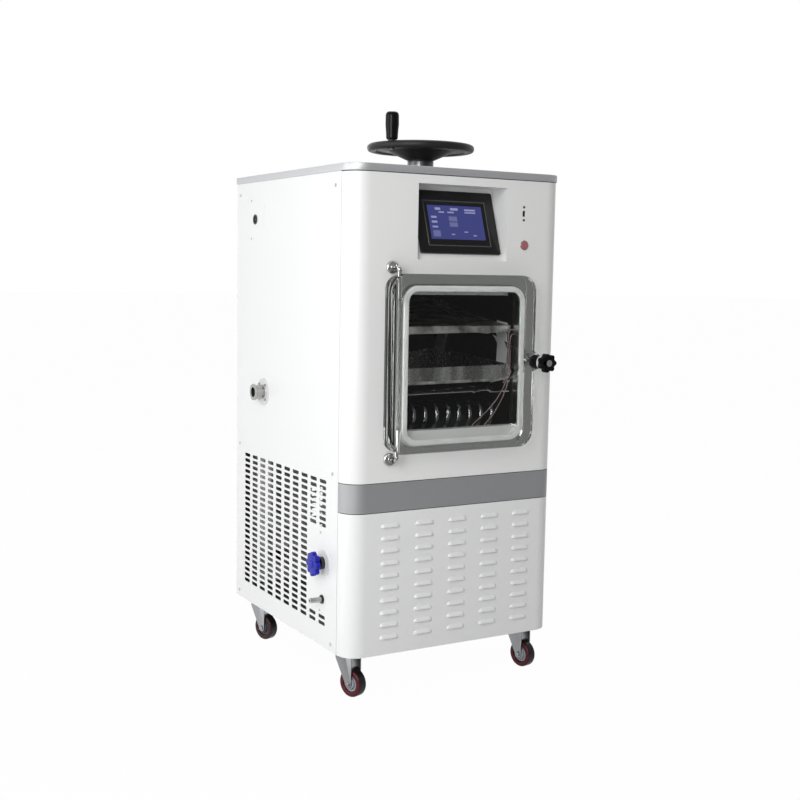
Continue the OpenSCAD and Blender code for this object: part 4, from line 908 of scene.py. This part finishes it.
def bend_points(start_run, middle_y, side):
    points = []
    for step in range(BEND_STEPS + 1):
        angle = math.pi * step / BEND_STEPS
        run = start_run + step / BEND_STEPS * half_turn
        y = middle_y + side * COIL_BEND * math.sin(angle)
        points.append(coil_point(run, y, side * COIL_BEND * math.cos(angle)))
    return points


path = [coil_point(0, coil_high.y, -COIL_BEND)]
for turn in range(COIL_TURNS):
    path += bend_points(turn * turn_run, front_y, side=-1)
    if turn < COIL_TURNS - 1:
        path += bend_points((turn + 0.5) * turn_run, rear_y, side=1)
path.append(coil_point((COIL_TURNS - 0.5) * turn_run, coil_high.y, COIL_BEND))
coil = tube("cold_coil", path, COIL_TUBE / 2 - COIL_CLEARANCE, shaded_coil_steel, smooth=False)
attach(coil, "cabinet")
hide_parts("condenser_coil")
print("coil tube", round(line_length(path), 2), "m long")

# %% [markdown]
# ## The leads' routes
# Each lead comes out of the chamber's right wall, bends down under its own weight, hangs past the shelves
# and the coil and goes in at the chamber's floor. The points are in millimetres to the right, back and up
# from the lower right corner of the chamber's opening, in the plane of the cabinet's front.
# %% Probe leads
LEAD_DIAMETER = 2.4 * MM
OPENING_CORNER = (160.75, -262.1, 583)
ROUTES = {
    "upper_probe_lead": (
        (-0.1, 11, 232), (-8, 11, 232), (-13, 11, 228), (-15, 11, 220), (-15.5, 11, 205), (-15, 11, 185),
        (-15, 11, 165), (-15.5, 11, 145), (-18, 11, 125), (-24, 11.5, 108), (-33, 12, 92), (-45, 12.5, 76),
        (-59, 13, 61), (-74, 14, 48), (-88, 15, 37), (-99, 16.5, 27), (-107, 19, 17), (-111, 22, 8),
        (-112, 23, 0.1)),
    "lower_probe_lead": (
        (-0.1, 11, 222), (-4, 11, 222), (-8, 11, 218), (-10, 11, 210), (-10.5, 11, 195), (-10, 11, 175),
        (-10, 11, 155), (-11, 11, 135), (-14, 11, 116), (-20, 11.5, 98), (-28, 12, 80), (-38, 12.5, 63),
        (-48, 13.5, 48), (-58, 15, 36), (-67, 17, 26), (-74, 19.5, 16), (-78, 22, 8), (-79, 23, 0.1)),
}
for name, route in ROUTES.items():
    points = [Vector([(a + b) * MM for a, b in zip(OPENING_CORNER, spot)]) for spot in route]
    lead = tube(name, points, LEAD_DIAMETER / 2, lead_skin, smooth=True)
    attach(lead, "cabinet")
    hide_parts("probe_leads")
    print(name, round(line_length(points), 3), "m")

# %% [markdown]
# ## Floor
# The floor is plain and pale, and keeps a trace of a soft shadow. It shows nearly white to the camera, and
# in metal and glass on the side of the wall behind; in front of the cabinet they show a dimmer floor.
# %% Floor
FLOOR_SIZE = 40.0
SHOWN_SHARE = 0.98


def floor_finish():
    made = bpy.data.materials.new("pale_floor")
    made.use_nodes = True
    tree = made.node_tree
    tree.nodes.clear()
    out = tree.nodes.new("ShaderNodeOutputMaterial")
    matt = tree.nodes.new("ShaderNodeBsdfDiffuse")
    matt.inputs["Color"].default_value = (0.66, 0.66, 0.66, 1)
    bright = tree.nodes.new("ShaderNodeEmission")
    rays = tree.nodes.new("ShaderNodeLightPath").outputs
    graded = ramp(tree, step_along(tree, "Y", -0.9, 0.3), low=0.24)
    tree.links.new(calculate(tree, "MAXIMUM", rays["Is Camera Ray"], graded), bright.inputs["Strength"])
    mirror_ray = calculate(tree, "MAXIMUM", rays["Is Glossy Ray"], rays["Is Transmission Ray"])
    any_view = calculate(tree, "MAXIMUM", mirror_ray, rays["Is Camera Ray"])
    share = calculate(tree, "MULTIPLY", any_view, SHOWN_SHARE)
    tree.links.new(mix_shaders(tree, share, matt.outputs[0], bright.outputs[0]), out.inputs[0])
    return made


shape = bmesh.new()
bmesh.ops.create_grid(shape, x_segments=1, y_segments=1, size=FLOOR_SIZE)
floor = finished_piece("studio_floor", shape, floor_finish(), smooth=False)
print("floor laid")
